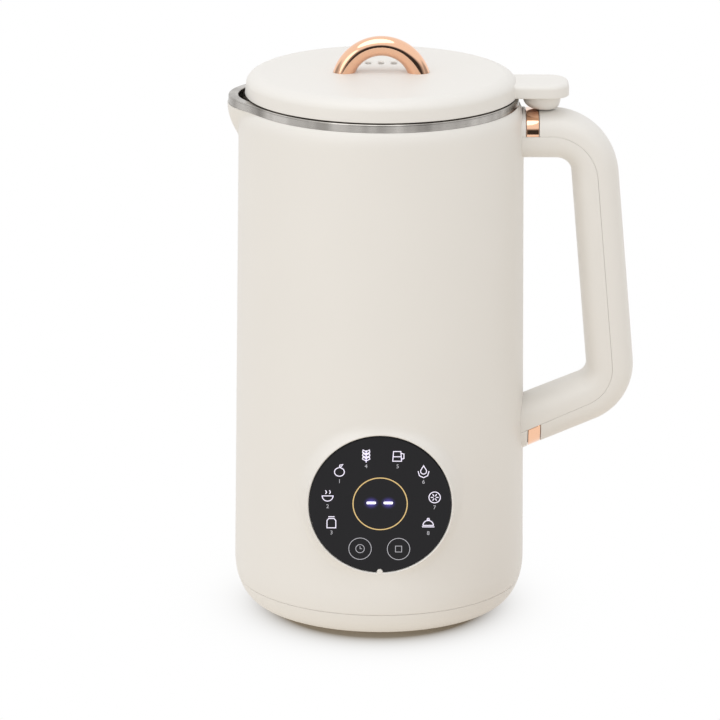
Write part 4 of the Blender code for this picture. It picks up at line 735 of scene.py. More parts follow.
def makeFeetAndScrews():
    tree, edge = ringTree(), base["footEdge"]
    low, high = -base["footStand"], base["footPocket"] - seatGap
    wide = base["footRadius"]
    foot = roundedCorners([(0, low, 0), (wide, low, edge), (wide, high, edge / 2), (0, high, 0)])
    values = {
        "Count": 4, "Ring Radius": base["footPlace"], "Start Angle": 0.0, "Centre": tuple(origin),
        "Finish": finishes["dark_rubber"],
    }
    mesh = runTree("rubberFeet", toMesh("foot", weld(turned(foot, 48))), tree, values)
    finishPiece("rubberFeet", mesh, "dark_rubber", "body", [f"foot_{number}" for number in range(1, 5)])

    # Pan heads with a cross recess, under the base
    head, shank, tip = base["screwHead"], base["screwRadius"], base["screwTip"]
    low = base["screwPocket"] - seatGap - base["headThickness"]
    seat = low + base["headThickness"]
    profile = roundedCorners([
        (head * base["headFace"], low, 0), (head, low, head * base["headRound"]), (head, seat, 0), (shank, seat, 0),
        (shank, tip - shank / 2, 0), (shank / 2, tip, 0),
    ], 4)
    bm = bmesh.new()
    loops = addLoops(bm, [circleAt(radius, height, 48) for radius, height in profile])
    joinLoops(bm, loops)
    bm.faces.new(loops[-1])
    near, far, taper = head * base["crossHalf"], head * base["crossReach"], base["crossTaper"]
    cross = []
    for c, s in unitCircle(4):
        for along, aside in ((near, -near), (far, -near), (far, near)):
            cross.append((along * c - aside * s, along * s + aside * c))
    crossTop, crossFloor = addLoops(bm, [
        [(x, y, low) for x, y in cross], [(x * taper, y * taper, low + base["crossDepth"]) for x, y in cross],
    ])
    joinLoops(bm, [crossTop, crossFloor])
    bm.faces.new(crossFloor)
    fillFlat(bm, [loops[0], crossTop], (0, 0, 0))  # without a direction, as the face looks down
    values.update({"Ring Radius": base["screwPlace"], "Start Angle": math.pi / 4})
    values["Finish"] = finishes["zinc_plated_steel"]
    mesh = runTree("baseScrews", toMesh("screw", weld(bm)), tree, values)
    finishPiece("baseScrews", mesh, "zinc_plated_steel", "body", [f"base_screw_{number}" for number in range(1, 5)])


makeBaseCover()
makeFeetAndScrews()
print("base made")


# Lid

lid = {
    "radius": 0.0573, "draft": 0.0005, "bottom": 0.2214, "skirtBottom": 0.22125, "shoulder": 0.2254, "top": 0.2303,
    "crownWidth": 0.0070, "crownHeight": 0.0050, "crownFlat": 0.0010, "crownSteps": 18, "wall": 0.0025,
    "bottomEdge": 0.0003, "columns": 216, "tongueReach": 0.0787, "tongueHalfWidth": 0.0124, "tongueTop": 0.2269,
    "tongueCorner": 0.0085, "tongueEdge": 0.0020, "tongueLowEdge": 0.0005, "tongueRoot": 0.0560,
    "ventBack": 0.0177, "ventPitch": 0.0054, "ventWidth": 0.0023, "ventLength": 0.0064, "ventEdge": 0.0009,
    "ventSteps": 4,
}


def slotOutline(width, length, x, y, steps=8):
    # A rounded slot that runs along Y
    reach = (length - width) / 2
    points = []
    for side in (1, -1):
        for step in range(steps + 1):
            turn = math.pi * step / steps
            points.append((x + side * width / 2 * math.cos(turn), y + side * (reach + width / 2 * math.sin(turn))))
    return points


def makeLid():
    bm = bmesh.new()
    low, top, shoulder, small = lid["skirtBottom"], lid["top"], lid["shoulder"], lid["bottomEdge"]
    wallRadius, ceiling = lid["radius"] - lid["wall"], top - lid["wall"]
    shoulderRadius = lid["radius"] - lid["draft"]
    profile = roundedCorners([
        (wallRadius, shoulder - lid["wall"], 0), (wallRadius, low, small),
        (lid["radius"], low, small), (shoulderRadius, shoulder, 0),
    ])
    # The crown meets the flat top at a faint crease
    crease = math.asin((top - shoulder) / lid["crownHeight"])
    for step in range(1, lid["crownSteps"] + 1):
        turn = crease * step / lid["crownSteps"]
        across = shoulderRadius - lid["crownWidth"] * (1 - math.cos(turn))
        profile.append((across, shoulder + lid["crownHeight"] * math.sin(turn)))
    profile.append((profile[-1][0] - lid["crownFlat"], top))
    profile.insert(0, (profile[-1][0], ceiling))
    loops = addLoops(bm, [circleAt(radius, height, lid["columns"]) for radius, height in profile])
    joinLoops(bm, loops)
    topHoles, ceilingHoles = [], []
    edge = lid["ventEdge"]
    levels = [(3 * edge, 0)] + [(2 * edge * (1 - s), edge * (1 - c)) for s, c in quarterTurn(lid["ventSteps"])]
    for step in (-1, 0, 1):
        rings = []
        for grow, drop in levels:
            width, length = lid["ventWidth"] + grow, lid["ventLength"] + grow
            outline = slotOutline(width, length, lid["ventPitch"] * step, lid["ventBack"])
            rings.append([(x, y, top - drop) for x, y in outline])
        rings.append([(x, y, ceiling) for x, y, _ in rings[-1]])
        slotLoops = addLoops(bm, rings)
        joinLoops(bm, slotLoops)
        topHoles.append(slotLoops[0])
        ceilingHoles.append(slotLoops[-1])
    fillFlat(bm, [loops[-1]] + topHoles)
    fillFlat(bm, [loops[0]] + ceilingHoles)

    # The tongue starts inside the lid's wall and reaches out over the handle
    flat = 2 * lid["tongueEdge"]
    levels = roundedCorners([
        (flat, lid["bottom"], 0), (0, lid["bottom"], lid["tongueLowEdge"]),
        (0, lid["tongueTop"], lid["tongueEdge"]), (flat, lid["tongueTop"], 0),
    ], 8)
    rings = []
    for inset, height in levels[1:-1]:
        side, bend = lid["tongueHalfWidth"] - inset, lid["tongueCorner"] - inset
        ring = []
        for sign, start in ((-1, -math.pi / 2), (1, 0)):
            for step in range(9):
                turn = start + math.pi / 2 * step / 8
                x = lid["tongueReach"] - lid["tongueCorner"] + bend * math.cos(turn)
                ring.append((x, sign * (side - bend) + bend * math.sin(turn), height))
        for step in range(9):
            y = side * (1 - step / 4)
            ring.append((math.sqrt(lid["tongueRoot"] ** 2 - y * y), y, height))
        rings.append(ring)
    skinned(rings, bm=bm)
    makePiece("lidShell", bm, "cream_plastic", "lid", ["lid_shell"], 30)


liner = {
    "radius": 0.0515, "bottom": 0.2120, "wall": 0.0015, "flangeHeight": 0.2216, "flangeRadius": 0.0544,
    "edge": 0.0004, "sealHeight": 0.0024, "sealLow": 0.2144, "groove": 0.0014, "sealEdge": (0.0003, 0.0004),
    "probePlace": 0.0330, "probeRadius": 0.0018, "probeTip": 0.1780, "probeHead": 0.0040, "headThickness": 0.0015,
    "headEdge": 0.0003, "tipRound": 0.9, "steamHole": 0.0012, "floorShare": 0.9,
}


def makeLiner():
    # The liner's floor has the steam holes below the vents, and a hole for the probe
    bm = bmesh.new()
    radius, low, flange, edge = liner["radius"], liner["bottom"], liner["flangeRadius"], liner["edge"]
    floorTop, flangeTop = low + liner["wall"], liner["flangeHeight"] + liner["wall"]
    inner, groove = radius - liner["wall"], radius - liner["groove"]
    flat = inner * liner["floorShare"]  # the floor inside this radius is one flat face with the holes in it
    sealLow, sealTop = liner["sealLow"], liner["sealLow"] + liner["sealHeight"]
    profile = roundedCorners([
        (flat, low, 0), (radius, low, liner["wall"]),
        (radius, sealLow - seatGap, 0), (groove, sealLow - seatGap, 0),
        (groove, sealTop + seatGap, 0), (radius, sealTop + seatGap, 0),
        (radius, liner["flangeHeight"], 0), (flange, liner["flangeHeight"], edge), (flange, flangeTop, edge),
        (inner - liner["groove"], flangeTop, 0), (inner - liner["groove"], floorTop, 0), (flat, floorTop, 0),
    ])
    loops = addLoops(bm, [circleAt(reach, height, 144) for reach, height in profile])
    joinLoops(bm, loops)
    lowHoles, highHoles = [], []
    holes = [(liner["probePlace"], 0, liner["probeRadius"] + seatGap)]
    holes += [(lid["ventPitch"] * step, lid["ventBack"], liner["steamHole"]) for step in (-1, 0, 1)]
    for x, y, reach in holes:
        holeLoops = addLoops(bm, [circleAt(reach, height, 24, (x, y)) for height in (low, floorTop)])
        joinLoops(bm, holeLoops)
        lowHoles.append(holeLoops[0])
        highHoles.append(holeLoops[1])
    fillFlat(bm, [loops[0]] + lowHoles)
    fillFlat(bm, [loops[-1]] + highHoles)
    makePiece("lidLiner", bm, "cream_inner_plastic", "lid", ["lid_liner"])

    start, reach, middle = groove + seatGap, cup["radius"] - seatGap, sealLow + liner["sealHeight"] / 2
    across, up = liner["sealEdge"]
    seal = [
        (start, sealLow), (reach - across, sealLow), (reach, sealLow + up), (reach - up, middle),
        (reach, sealTop - up), (reach - across, sealTop), (start, sealTop),
    ]
    makePiece("lidSeal", turned(seal, 144), "grey_silicone", "lid", ["lid_seal"])

    thick, head, tip, edge = liner["probeRadius"], liner["probeHead"], liner["probeTip"], liner["headEdge"]
    headLow = floorTop + seatGap
    headTop = headLow + liner["headThickness"]
    probe = roundedCorners([
        (0, tip, 0), (thick, tip, thick * liner["tipRound"]), (thick, headLow, 0),
        (head, headLow, edge), (head, headTop, edge), (0, headTop, 0),
    ])
    bm = turned(probe, 48, (liner["probePlace"], 0))
    makePiece("overflowProbe", bm, "brushed_steel", "lid", ["overflow_probe"])


coupler = {
    "place": 0.0674, "radius": 0.0080, "footPlace": 0.0692, "footRadius": 0.0034, "handleTop": 0.2146,
    "spigotRadius": 0.0057, "spigot": 0.0030, "edge": 0.0004, "fullness": 0.9, "bowlSteps": 16, "edgeSteps": 4,
    "sides": 96,
}


def makeCoupler():
    # A small bowl under the tongue, which stands on top of the handle
    low, high = coupler["handleTop"] + seatGap, lid["bottom"] - 2 * seatGap
    full, place, edge = coupler["fullness"], coupler["place"], coupler["edge"]
    circles = []
    for s, c in quarterTurn(coupler["bowlSteps"]):
        share = s**full
        radius = coupler["footRadius"] + (coupler["radius"] - coupler["footRadius"]) * share
        middle = coupler["footPlace"] + (place - coupler["footPlace"]) * share
        circles.append((radius, low + (high - edge - low) * (1 - c**full), middle))
    for s, c in quarterTurn(coupler["edgeSteps"])[1:]:
        circles.append((coupler["radius"] - edge * (1 - c), high - edge * (1 - s), place))
    circles += [(coupler["spigotRadius"], height, place) for height in (high, lid["bottom"] + coupler["spigot"])]
    bm = skinned([circleAt(radius, height, coupler["sides"], (x, 0)) for radius, height, x in circles])
    makePiece("couplerBowl", bm, "cream_plastic", "lid", ["lid_coupler"])


arch = {
    "top": 0.2457, "halfChord": 0.0156, "forward": 0.0010, "tube": 0.0042, "footTube": 0.0046, "sunk": 0.0010,
    "steps": 97, "sides": 64,
}


def archTree():
    # A round bar bent to an arc, a little thicker towards both feet
    tree = nodeGroup("bentBar", {
        "Start": "Vector", "Middle": "Vector", "End": "Vector", "Bar Radius": "Float", "Foot Radius": "Float",
        "Steps": "Int", "Sides": "Int", "Finish": "Material",
    })
    given = addNode(tree, "NodeGroupInput").outputs
    ends = {"Start": given["Start"], "Middle": given["Middle"], "End": given["End"], "Resolution": given["Steps"]}
    path = addNode(tree, "GeometryNodeCurveArc", ends, mode="POINTS")
    share = addNode(tree, "GeometryNodeSplineParameter").outputs["Factor"]
    centred = addNode(tree, "ShaderNodeMath", {0: share, 1: 2.0, 2: -1.0}, operation="MULTIPLY_ADD")
    sideways = addNode(tree, "ShaderNodeMath", {0: centred}, operation="ABSOLUTE")
    cubed = addNode(tree, "ShaderNodeMath", {0: sideways, 1: 3.0}, operation="POWER")
    thickness = {"Value": cubed, "To Min": given["Bar Radius"], "To Max": given["Foot Radius"]}
    radius = addNode(tree, "ShaderNodeMapRange", thickness)
    sized = addNode(tree, "GeometryNodeSetCurveRadius", {"Curve": path, "Radius": radius})
    section = addNode(tree, "GeometryNodeCurvePrimitiveCircle", {"Resolution": given["Sides"], "Radius": 1.0})
    swept = {"Curve": sized, "Profile Curve": section, "Fill Caps": True}
    bar = addNode(tree, "GeometryNodeCurveToMesh", swept)
    if "Scale" in bar.inputs:
        feed(bar, {"Scale": radius})
    return finishTree(tree, bar, given["Finish"])


def makeArch():
    rise = arch["top"] - arch["tube"] - lid["top"]
    bend = (arch["halfChord"] ** 2 + rise**2) / (2 * rise)
    centre, foot = lid["top"] + rise - bend, lid["top"] - arch["sunk"]
    reach = math.sqrt(bend**2 - (foot - centre) ** 2)
    spots = {"Start": (-reach, foot), "Middle": (0, centre + bend), "End": (reach, foot)}
    values = {
        "Bar Radius": arch["tube"], "Foot Radius": arch["footTube"], "Steps": arch["steps"], "Sides": arch["sides"],
        "Finish": finishes["rose_gold_plating"],
    }
    values.update({label: tuple(origin + Vector((x, -arch["forward"], z))) for label, (x, z) in spots.items()})
    mesh = runTree("archHandle", bpy.data.meshes.new("archHandle"), archTree(), values)
    finishPiece("archHandle", mesh, "rose_gold_plating", "lid", ["lid_arch_handle"], 60)


makeLid()
makeLiner()
makeCoupler()
makeArch()
print("lid made")


# Handle, drawn in the plane Y = 0

handle = {
    # Corners of the side view: how far out, how high, and how round
    "outside": ((0.0560, 0.2146, 0), (0.0978, 0.2146, 0.0290), (0.1096, 0.0875, 0.0260), (0.0560, 0.0646, 0)),
    "inside": ((0.0560, 0.1945, 0), (0.0798, 0.1945, 0.0066), (0.0884, 0.1001, 0.0053), (0.0560, 0.0868, 0)),
    "halfWidth": 0.0130, "coverDepth": 0.0093, "seamGap": 0.00008, "squareness": 2.7,
    "bendSteps": 20, "sectionSteps": 36, "edge": 0.00012, "halvings": 24,
    "trimThickness": 0.0012, "trimEdge": 0.0002, "upperTrim": (0.0608, 0.0660), "lowerTrim": (0.0633, 0.0684),
}


def handleStations():
    # Pairs of an outer and an inner point, from the upper root round to the lower one
    sides = [roundedCorners(handle[side], handle["bendSteps"]) for side in ("outside", "inside")]
    return [(Vector(far), Vector(near)) for far, near in zip(*sides)]


def handleSection(outer, inner, inset, isCover):
    # One half of the rounded section, cut flat at the seam
    middle, across = (outer + inner) / 2, (outer - inner).normalized()
    halfDepth = (outer - inner).length / 2
    power = 2 / handle["squareness"]
    seam = halfDepth - handle["coverDepth"] + math.copysign(handle["seamGap"] / 2, 1 if isCover else -1)
    seamTurn = math.asin(math.copysign(abs(seam / halfDepth) ** (1 / power), seam))
    first, last = (seamTurn, math.pi - seamTurn) if isCover else (math.pi - seamTurn, math.tau + seamTurn)
    points = []
    for step in range(handle["sectionSteps"] + 1):
        turn = first + (last - first) * step / handle["sectionSteps"]
        wide = math.copysign(abs(math.cos(turn)) ** power, math.cos(turn))
        deep = math.copysign(abs(math.sin(turn)) ** power, math.sin(turn))
        place = middle + across * (deep * (halfDepth - inset))
        points.append(Vector((place.x, wide * (handle["halfWidth"] - inset), place.y)))
    return points


def atShell(start, end):
    # Where a line from inside the shell comes out of it
    low, high = 0.0, 1.0
    for _ in range(handle["halvings"]):
        share = (low + high) / 2
        point = start.lerp(end, share)
        if point.xy.length < shellRadius(point.z) - seatGap:
            low = share
        else:
            high = share
    return start.lerp(end, high)


def trimRow(inset, atUpperRoot, x):
    # The cover section's points where the straight root crosses one upright plane
    stations = handleStations()
    first, second = stations[:2] if atUpperRoot else stations[:-3:-1]
    pairs = zip(handleSection(*first, inset, True), handleSection(*second, inset, True))
    return [start.lerp(end, (x - start.x) / (end.x - start.x)) for start, end in pairs]


def makeHandle():
    stations = handleStations()
    grooves = ((handle["upperTrim"], True), (handle["lowerTrim"], False))
    deep = handle["trimThickness"] + seatGap
    for name, node, isCover in (("handleGrip", "handle_grip", False), ("handleCover", "handle_cover", True)):
        sections = [handleSection(outer, inner, 0, isCover) for outer, inner in stations]
        rows = [[atShell(start, end) for start, end in zip(sections[0], sections[1])]]
        cuts = []
        for (start, end), isUpper in grooves if isCover else ():
            near, far = start - seatGap, end + seatGap
            cut = [trimRow(inset, isUpper, x) for x, inset in ((near, 0), (near, deep), (far, deep), (far, 0))]
            cuts.append(cut if isUpper else cut[::-1])
        rows += (cuts[0] if cuts else []) + sections[1:-1] + (cuts[1] if cuts else [])
        rows.append([atShell(start, end) for start, end in zip(sections[-1], sections[-2])])
        makePiece(name, skinned(rows), "cream_plastic", "body", [node], 30, handle["edge"])

    deep = handle["trimThickness"]
    for name, node, ((start, end), isUpper) in zip(("upperTrim", "lowerTrim"), ("trim_upper", "trim_lower"), grooves):
        bm = bmesh.new()
        corners = ((start, 0), (end, 0), (end, deep), (start, deep))
        loops = addLoops(bm, [trimRow(inset, isUpper, x) for x, inset in corners])
        joinLoops(bm, loops, around=False, closed=True)
        for last in (0, -1):
            bm.faces.new([loop[last] for loop in loops])
        makePiece(name, bm, "rose_gold_plating", "body", [node], 30, handle["trimEdge"])


makeHandle()
print("handle made")


# Control lens and what is printed on it

marks = {
    "lift": 0.00004, "ringRadius": 0.0113, "ringUp": 0.0004, "ringWidth": 0.00045, "line": 0.00038,
    "dashCentres": (-0.0037, 0.0034), "dashUp": 0.0008, "dashHalfWidth": 0.0019, "dashHalfHeight": 0.0005,
    "dashRound": 0.6, "haloWide": 0.0035, "haloTall": 0.0030, "signScale": 1.08,
    "touchCentres": ((-0.0083, -0.0193), (0.0078, -0.0194)), "touchRadius": 0.0047, "touchWidth": 0.00025,
    "clockRadius": 0.0018, "clockHands": (0.0011, 0.0008), "stopHalf": 0.0013, "number": 0.0024, "numberDrop": 0.0052,
}


def makeLens():
    # A disc with a notch for the nib, its edge broken all round
    front = panel["face"] - panel["lensInset"]
    back, edge, low = front - panel["lensThickness"], panel["lensEdge"], math.pi * 1.5
    notch, centre = panel["nibRadius"] + seatGap / 3, panel["lensRadius"] + seatGap + panel["nibSunk"]
    turns = [math.tau * step / 180 for step in range(180)]  # and finer steps round the notch
    turns += [low + math.radians(0.25 * step) for step in range(-12, 13) if step % 8]
    outline = []
    for turn in sorted(turns):
        aside = abs(centre * math.sin(turn - low))
        radius = panel["lensRadius"]
        if aside < notch and math.sin(turn) < 0:
            radius = min(radius, centre * math.cos(turn - low) - math.sqrt(notch**2 - aside**2))
        outline.append((radius, math.cos(turn), math.sin(turn)))
    part, rings = edge * brokenShare, []
    levels = [(edge, back), (0, back + edge), (0, front - edge), (part, front - part)]
    levels += [(edge, front), (2 * edge, front)]  # the second keeps the face flat up to its edge
    for inset, depth in levels:
        rings.append([((r - inset) * c, -depth, panel["height"] + (r - inset) * s) for r, c, s in outline])
    makePiece("controlLens", skinned(rings), "black_lens", "body", ["control_lens"])


def flatPlace(x, up):
    # A place on the lens, a hair in front of its face
    depth = panel["face"] - panel["lensInset"] + marks["lift"]
    return (x, -depth, panel["height"] + up)


def stroke(bm, points, width, closed=False):
    # A flat line of even width through the points
    points = [Vector(point) for point in points]
    count = len(points)
    left, right = [], []
    for here, point in enumerate(points):
        before = points[here - 1] if here or closed else point
        after = points[(here + 1) % count] if here < count - 1 or closed else point
        into = (point - before).normalized() if (point - before).length else (after - point).normalized()
        out = (after - point).normalized() if (after - point).length else into
        along = (into + out).normalized()
        side = Vector((-along.y, along.x)) * (width / 2 / max(along.dot(into), 0.5))
        left.append(bm.verts.new(flatPlace(*(point + side))))
        right.append(bm.verts.new(flatPlace(*(point - side))))
    joinLoops(bm, [left, right], around=closed)


def arc(x, up, radius, first, last, steps=24, tall=1.0):
    turns = [math.radians(first + (last - first) * step / steps) for step in range(steps + 1)]
    return [(x + radius * math.cos(turn), up + radius * tall * math.sin(turn)) for turn in turns]


def drawSigns(bm):
    # Eight plain kitchen pictograms round the lens, each about 5 mm across, drawn in millimetres
    def spoke(step):
        c, s = math.cos(math.tau * step / 6), math.sin(math.tau * step / 6)
        return [(0.5 * c, 0.5 * s), (1.5 * c, 1.5 * s)], False

    def husk(side, low):
        return [(0, low - 0.5), (side * 1.4, low + 0.2), (side * 1.2, low + 1.1), (0, low + 0.4)], True

    # Each sign has its centre, and its strokes with whether they close
    signs = (
        # An apple with a leaf
        (-17.0, 14.7, [
            (arc(0, -0.4, 1.9, 100, 440, 30, 0.9), False), ([(-0.1, 1.4), (0.2, 2.4), (1.3, 2.6), (0.6, 1.7)], True),
        ]),
        # A bowl with steam
        (-21.9, 3.7, [
            ([(-2.3, 0.1), (2.3, 0.1)], False), (arc(0, 0.1, 2.1, 180, 360, 16), False),
            ([(-0.8, 0.9), (-0.4, 1.6), (-0.8, 2.4)], False), ([(0.7, 0.9), (1.1, 1.6), (0.7, 2.4)], False),
        ]),
        # A jar with a neck
        (-20.3, -7.9, [
            ([(-1.2, 2.4), (1.2, 2.4)], False),
            ([(-1.0, 1.7), (-1.7, 0.9), (-1.7, -2.1), (1.7, -2.1), (1.7, 0.9), (1.0, 1.7)], True),
        ]),
        # A stalk with its husks
        (-5.9, 21.2, [
            ([(0, -2.6), (0, 2.4)], False), *(husk(side, low) for low in (-1.4, 0.0, 1.4) for side in (-1, 1)),
        ]),
        # A jug with a handle
        (7.2, 21.2, [
            ([(-1.6, 1.9), (-1.9, -2.0), (1.5, -2.0), (1.2, 1.9)], True),
            ([(1.3, 1.2), (2.4, 0.9), (2.4, -0.9), (1.4, -1.2)], False), ([(-1.8, -0.2), (1.4, -0.2)], False),
        ]),
        # A drop in a husk
        (18.0, 14.5, [
            ([(0, 2.4), (0.9, 0.9)] + arc(0, 0.2, 1.15, 30, -210, 18) + [(-0.9, 0.9)], True),
            ([(-2.1, 0.2), (-1.6, -1.6), (0, -2.4), (1.6, -1.6), (2.1, 0.2)], False),
        ]),
        # A wheel of bristles
        (22.7, 3.3, [(arc(0, 0, 2.2, 0, 350, 30), True), *(spoke(step) for step in range(6))]),
        # A dish under its cover
        (20.1, -8.0, [
            ([(-2.4, -1.5), (2.4, -1.5)], False), (arc(0, -0.9, 2.0, 0, 180, 18), True),
            (arc(0, 1.6, 0.4, 0, 330, 12), True),
        ]),
    )
    scale = marks["signScale"]
    for x, up, strokes in signs:
        for points, closed in strokes:
            line = [((x + across * scale) * millimetre, (up + high * scale) * millimetre) for across, high in points]
            stroke(bm, line, marks["line"], closed)


def drawNumber(bm, text, x, up, size):
    # A plain figure below a pictogram
    curve = bpy.data.curves.new("figure", "FONT")
    curve.body = text
    curve.size = size
    curve.align_x = "CENTER"
    curve.resolution_u = 3
    holder = placed("figure", curve)
    flat = meshNow(holder)
    flat.transform(Matrix.Translation(flatPlace(x, up)) @ Matrix.Rotation(math.pi / 2, 4, "X"))
    bm.from_mesh(flat)
    bpy.data.objects.remove(holder)
    bpy.data.meshes.remove(flat)


def makeMarks():
    bm = bmesh.new()
    drawSigns(bm)
    makeFlat("printedSigns", bm, "white")

    # The figures hang below these places, in millimetres
    bm = bmesh.new()
    places = (
        (-16.97, 14.67), (-21.9, 3.68), (-20.26, -7.84), (-5.92, 21.24),
        (7.21, 21.19), (18.01, 14.49), (22.68, 3.33), (20.14, -7.97),
    )
    for number, (x, up) in enumerate(places, 1):
        drawNumber(bm, str(number), x * millimetre, up * millimetre - marks["numberDrop"], marks["number"])
    line = marks["touchWidth"]
    for x, up in marks["touchCentres"]:
        stroke(bm, arc(x, up, marks["touchRadius"], 0, 354, 60), line, True)
    (x, up), (long, short) = marks["touchCentres"][0], marks["clockHands"]
    stroke(bm, arc(x, up, marks["clockRadius"], 0, 345, 24), line, True)
    stroke(bm, [(x, up + long), (x, up), (x + short, up)], line)
    (x, up), half = marks["touchCentres"][1], marks["stopHalf"]
    square = [(x - half, up - half), (x + half, up - half), (x + half, up + half), (x - half, up + half)]
    stroke(bm, square, line, True)
    makeFlat("greySigns", bm, "grey")

    bm = bmesh.new()
    stroke(bm, arc(0, marks["ringUp"], marks["ringRadius"], 0, 357, 119), marks["ringWidth"], True)
    makeFlat("goldRing", bm, "gold")

    bm = bmesh.new()
    wide, tall, centre = marks["dashHalfWidth"], marks["dashHalfHeight"], marks["dashUp"]
    for x in marks["dashCentres"]:
        corners = [(x + side * wide, centre + end * tall) for side, end in ((-1, -1), (1, -1), (1, 1), (-1, 1))]
        outline = roundedCorners([(*corner, tall * marks["dashRound"]) for corner in corners])
        bm.faces.new([bm.verts.new(flatPlace(*point)) for point in outline])
    makeFlat("litDashes", bm, "lit")


def makeHalos():
    # A soft glow round each dash: the glow is a value on the points that falls to nothing at the edge
    bm = bmesh.new()
    halo = bm.verts.layers.float.new("halo")
    for x in marks["dashCentres"]:
        loops = []
        for step in range(9):
            share = step / 8
            loop = []
            for c, s in unitCircle(48):
                across, up = marks["haloWide"] * share * c, marks["haloTall"] * share * s
                vert = bm.verts.new(flatPlace(x + across, marks["dashUp"] + up))
                vert.co.y += marks["lift"] / 2
                vert[halo] = (1 - share) ** 2
                loop.append(vert)
            loops.append(loop)
        joinLoops(bm, loops)
    bmesh.ops.remove_doubles(bm, verts=bm.verts, dist=weldReach)
    makeFlat("dashHalos", bm, "halo")


def makeFlat(name, bm, ink):
    bmesh.ops.recalc_face_normals(bm, faces=bm.faces)
    for face in bm.faces:
        if face.normal.y > 0:
            face.normal_flip()
    mesh = toMesh(name, bm)
    mesh.transform(Matrix.Translation(origin))
    finishPiece(name, mesh, inks[ink], "body")


makeLens()
makeMarks()
makeHalos()
print("panel made")


# Power inlet at the back

def inletOutline(halfWidth, halfHeight, corner, chamfer=0.0):
    # Twelve points on each long side, so that it can follow the round of the shell
    outline = []
    for sx, sy, size in ((1, -1, corner), (1, 1, chamfer or corner), (-1, 1, chamfer or corner), (-1, -1, corner)):
        arcPoints = []
        for step in range(7):
            turn = math.pi / 2 * step / 6
            if chamfer and sy > 0:
                dx, dy = 1 - step / 6, step / 6
            else:
                dx, dy = math.cos(turn), math.sin(turn)
            arcPoints.append((sx * (halfWidth - size + size * dx), sy * (halfHeight - size + size * dy)))
        if sx * sy < 0:
            arcPoints.reverse()
        outline += arcPoints
        if sx * sy > 0:
            startX, y = arcPoints[-1]
            endX = -sx * (halfWidth - size)
            outline += [(startX + (endX - startX) * step / 12, y) for step in range(1, 12)]
    return outline


def makeInlet():
    near = shell["skirtRadius"] + seatGap
    far, edge, corner, wall = near + inlet["bezelThickness"], inlet["edge"], inlet["corner"], inlet["wall"]
    wide, tall = inlet["halfWidth"] + inlet["bezel"], inlet["halfHeight"] + inlet["bezel"]
    holeWide = inlet["halfWidth"] - wall
    bezel = inletOutline(wide, tall, corner + inlet["bezel"])
    body = inletOutline(inlet["halfWidth"], inlet["halfHeight"], corner)
    hole = inletOutline(holeWide, inlet["halfHeight"] - wall, corner * 0.6, inlet["chamfer"])

    def ring(outline, radius=None, flat=None, share=1.0):
        points = []
        for x, up in outline:
            x, up = x * share, up * share
            out = flat if flat is not None else math.sqrt(radius**2 - x * x)
            points.append((-x, out, inlet["height"] + up))
        return points

    part, shrink = edge * brokenShare, 1 - edge / wide
    makePiece("powerInlet", skinned([
        ring(body, flat=inlet["root"]), ring(body, near),
        ring(bezel, near), ring(bezel, far - edge),
        ring(bezel, far - part, share=1 - (1 - shrink) * brokenShare), ring(bezel, far, share=shrink),
        ring(hole, far, share=1 + edge / holeWide), ring(hole, far - part, share=1 + edge / holeWide * brokenShare),
        ring(hole, far - edge), ring(hole, flat=inlet["cavityRoot"]),
    ]), "black_plastic", "body", ["power_inlet"], 40)


makeInlet()
print("inlet made")


# Shaft housing and its seal in the cup's floor

housing = {
    "radius": 0.0090, "top": 0.0880, "stem": 0.0060, "low": 0.0715, "edge": 0.0010, "bore": 0.0033,
    "sealRadius": 0.0054, "sealHeight": 0.0026, "sealEdge": 0.0004,
}


def makeHousing():
    top, bore, seat, edge = housing["top"], housing["bore"], housing["sealRadius"], housing["sealEdge"]
    sealLow, low = top - housing["sealHeight"], cup["floor"] + seatGap
    profile = roundedCorners([
        (bore, housing["low"], 0), (housing["stem"], housing["low"], 0),
        (housing["stem"], low, 0), (housing["radius"], low, 0),
        (housing["radius"], top, housing["edge"]), (seat + seatGap, top, seatGap),
        (seat + seatGap, sealLow - seatGap, 0), (bore, sealLow - seatGap, 0),
    ])
    makePiece("shaftHousing", turned(profile, 96), "cast_aluminium", "body", ["shaft_housing"])
    seal = roundedCorners([
        (bore, sealLow, 0), (seat, sealLow, 0), (seat, top - seatGap, edge), (bore, top - seatGap, edge),
    ])
    makePiece("shaftSeal", turned(seal, 96), "grey_silicone", "body", ["shaft_seal"])


makeHousing()
print("shaft housing made")


# Floor, light and camera

studio = {
    "skyForLight": 0.74, "darkRoom": 0.96, "sideRoom": 0.3, "darkSides": 0.6, "roomShift": 0.2,
    "front": (0.4, -0.2), "low": (0.44, 0.20), "middle": (0.8, 0.35), "side": (0.87, 0.97), "below": (0.55, 0.35),
    "floorColour": "#F8F3EC", "paintedShadowColour": "#948C80", "tableGlow": 0.8, "glowColour": "#F8F0E4",
    "dimPlace": (0.105, -0.070), "dimReach": (0.020, 0.110), "dimColour": "#CBB9A4",
    "floorRadius": 1.6, "shadowShift": (0, -0.0094), "shadowStretch": (1.05, 1.0), "shadowReach": (0.0475, 0.0079),
    "lamps": (("keyLight", (-0.22, -0.42, 1.52), 1.4, 6.8), ("leftLight", (-1.1, -1.2, 0.8), 0.9, 2.0)),
    "lampAim": (0, 0, 0.12),
}


def whenSeen(tree):
    # One for camera, mirror and glass rays, and nothing for the light that falls on the object
    path = addNode(tree, "ShaderNodeLightPath").outputs
    seen = addNode(tree, "ShaderNodeMath", {0: path["Is Camera Ray"], 1: path["Is Glossy Ray"]}, operation="MAXIMUM")
    both = addNode(tree, "ShaderNodeMath", {0: seen, 1: path["Is Transmission Ray"]}, operation="MAXIMUM")
    return both, path["Is Glossy Ray"]


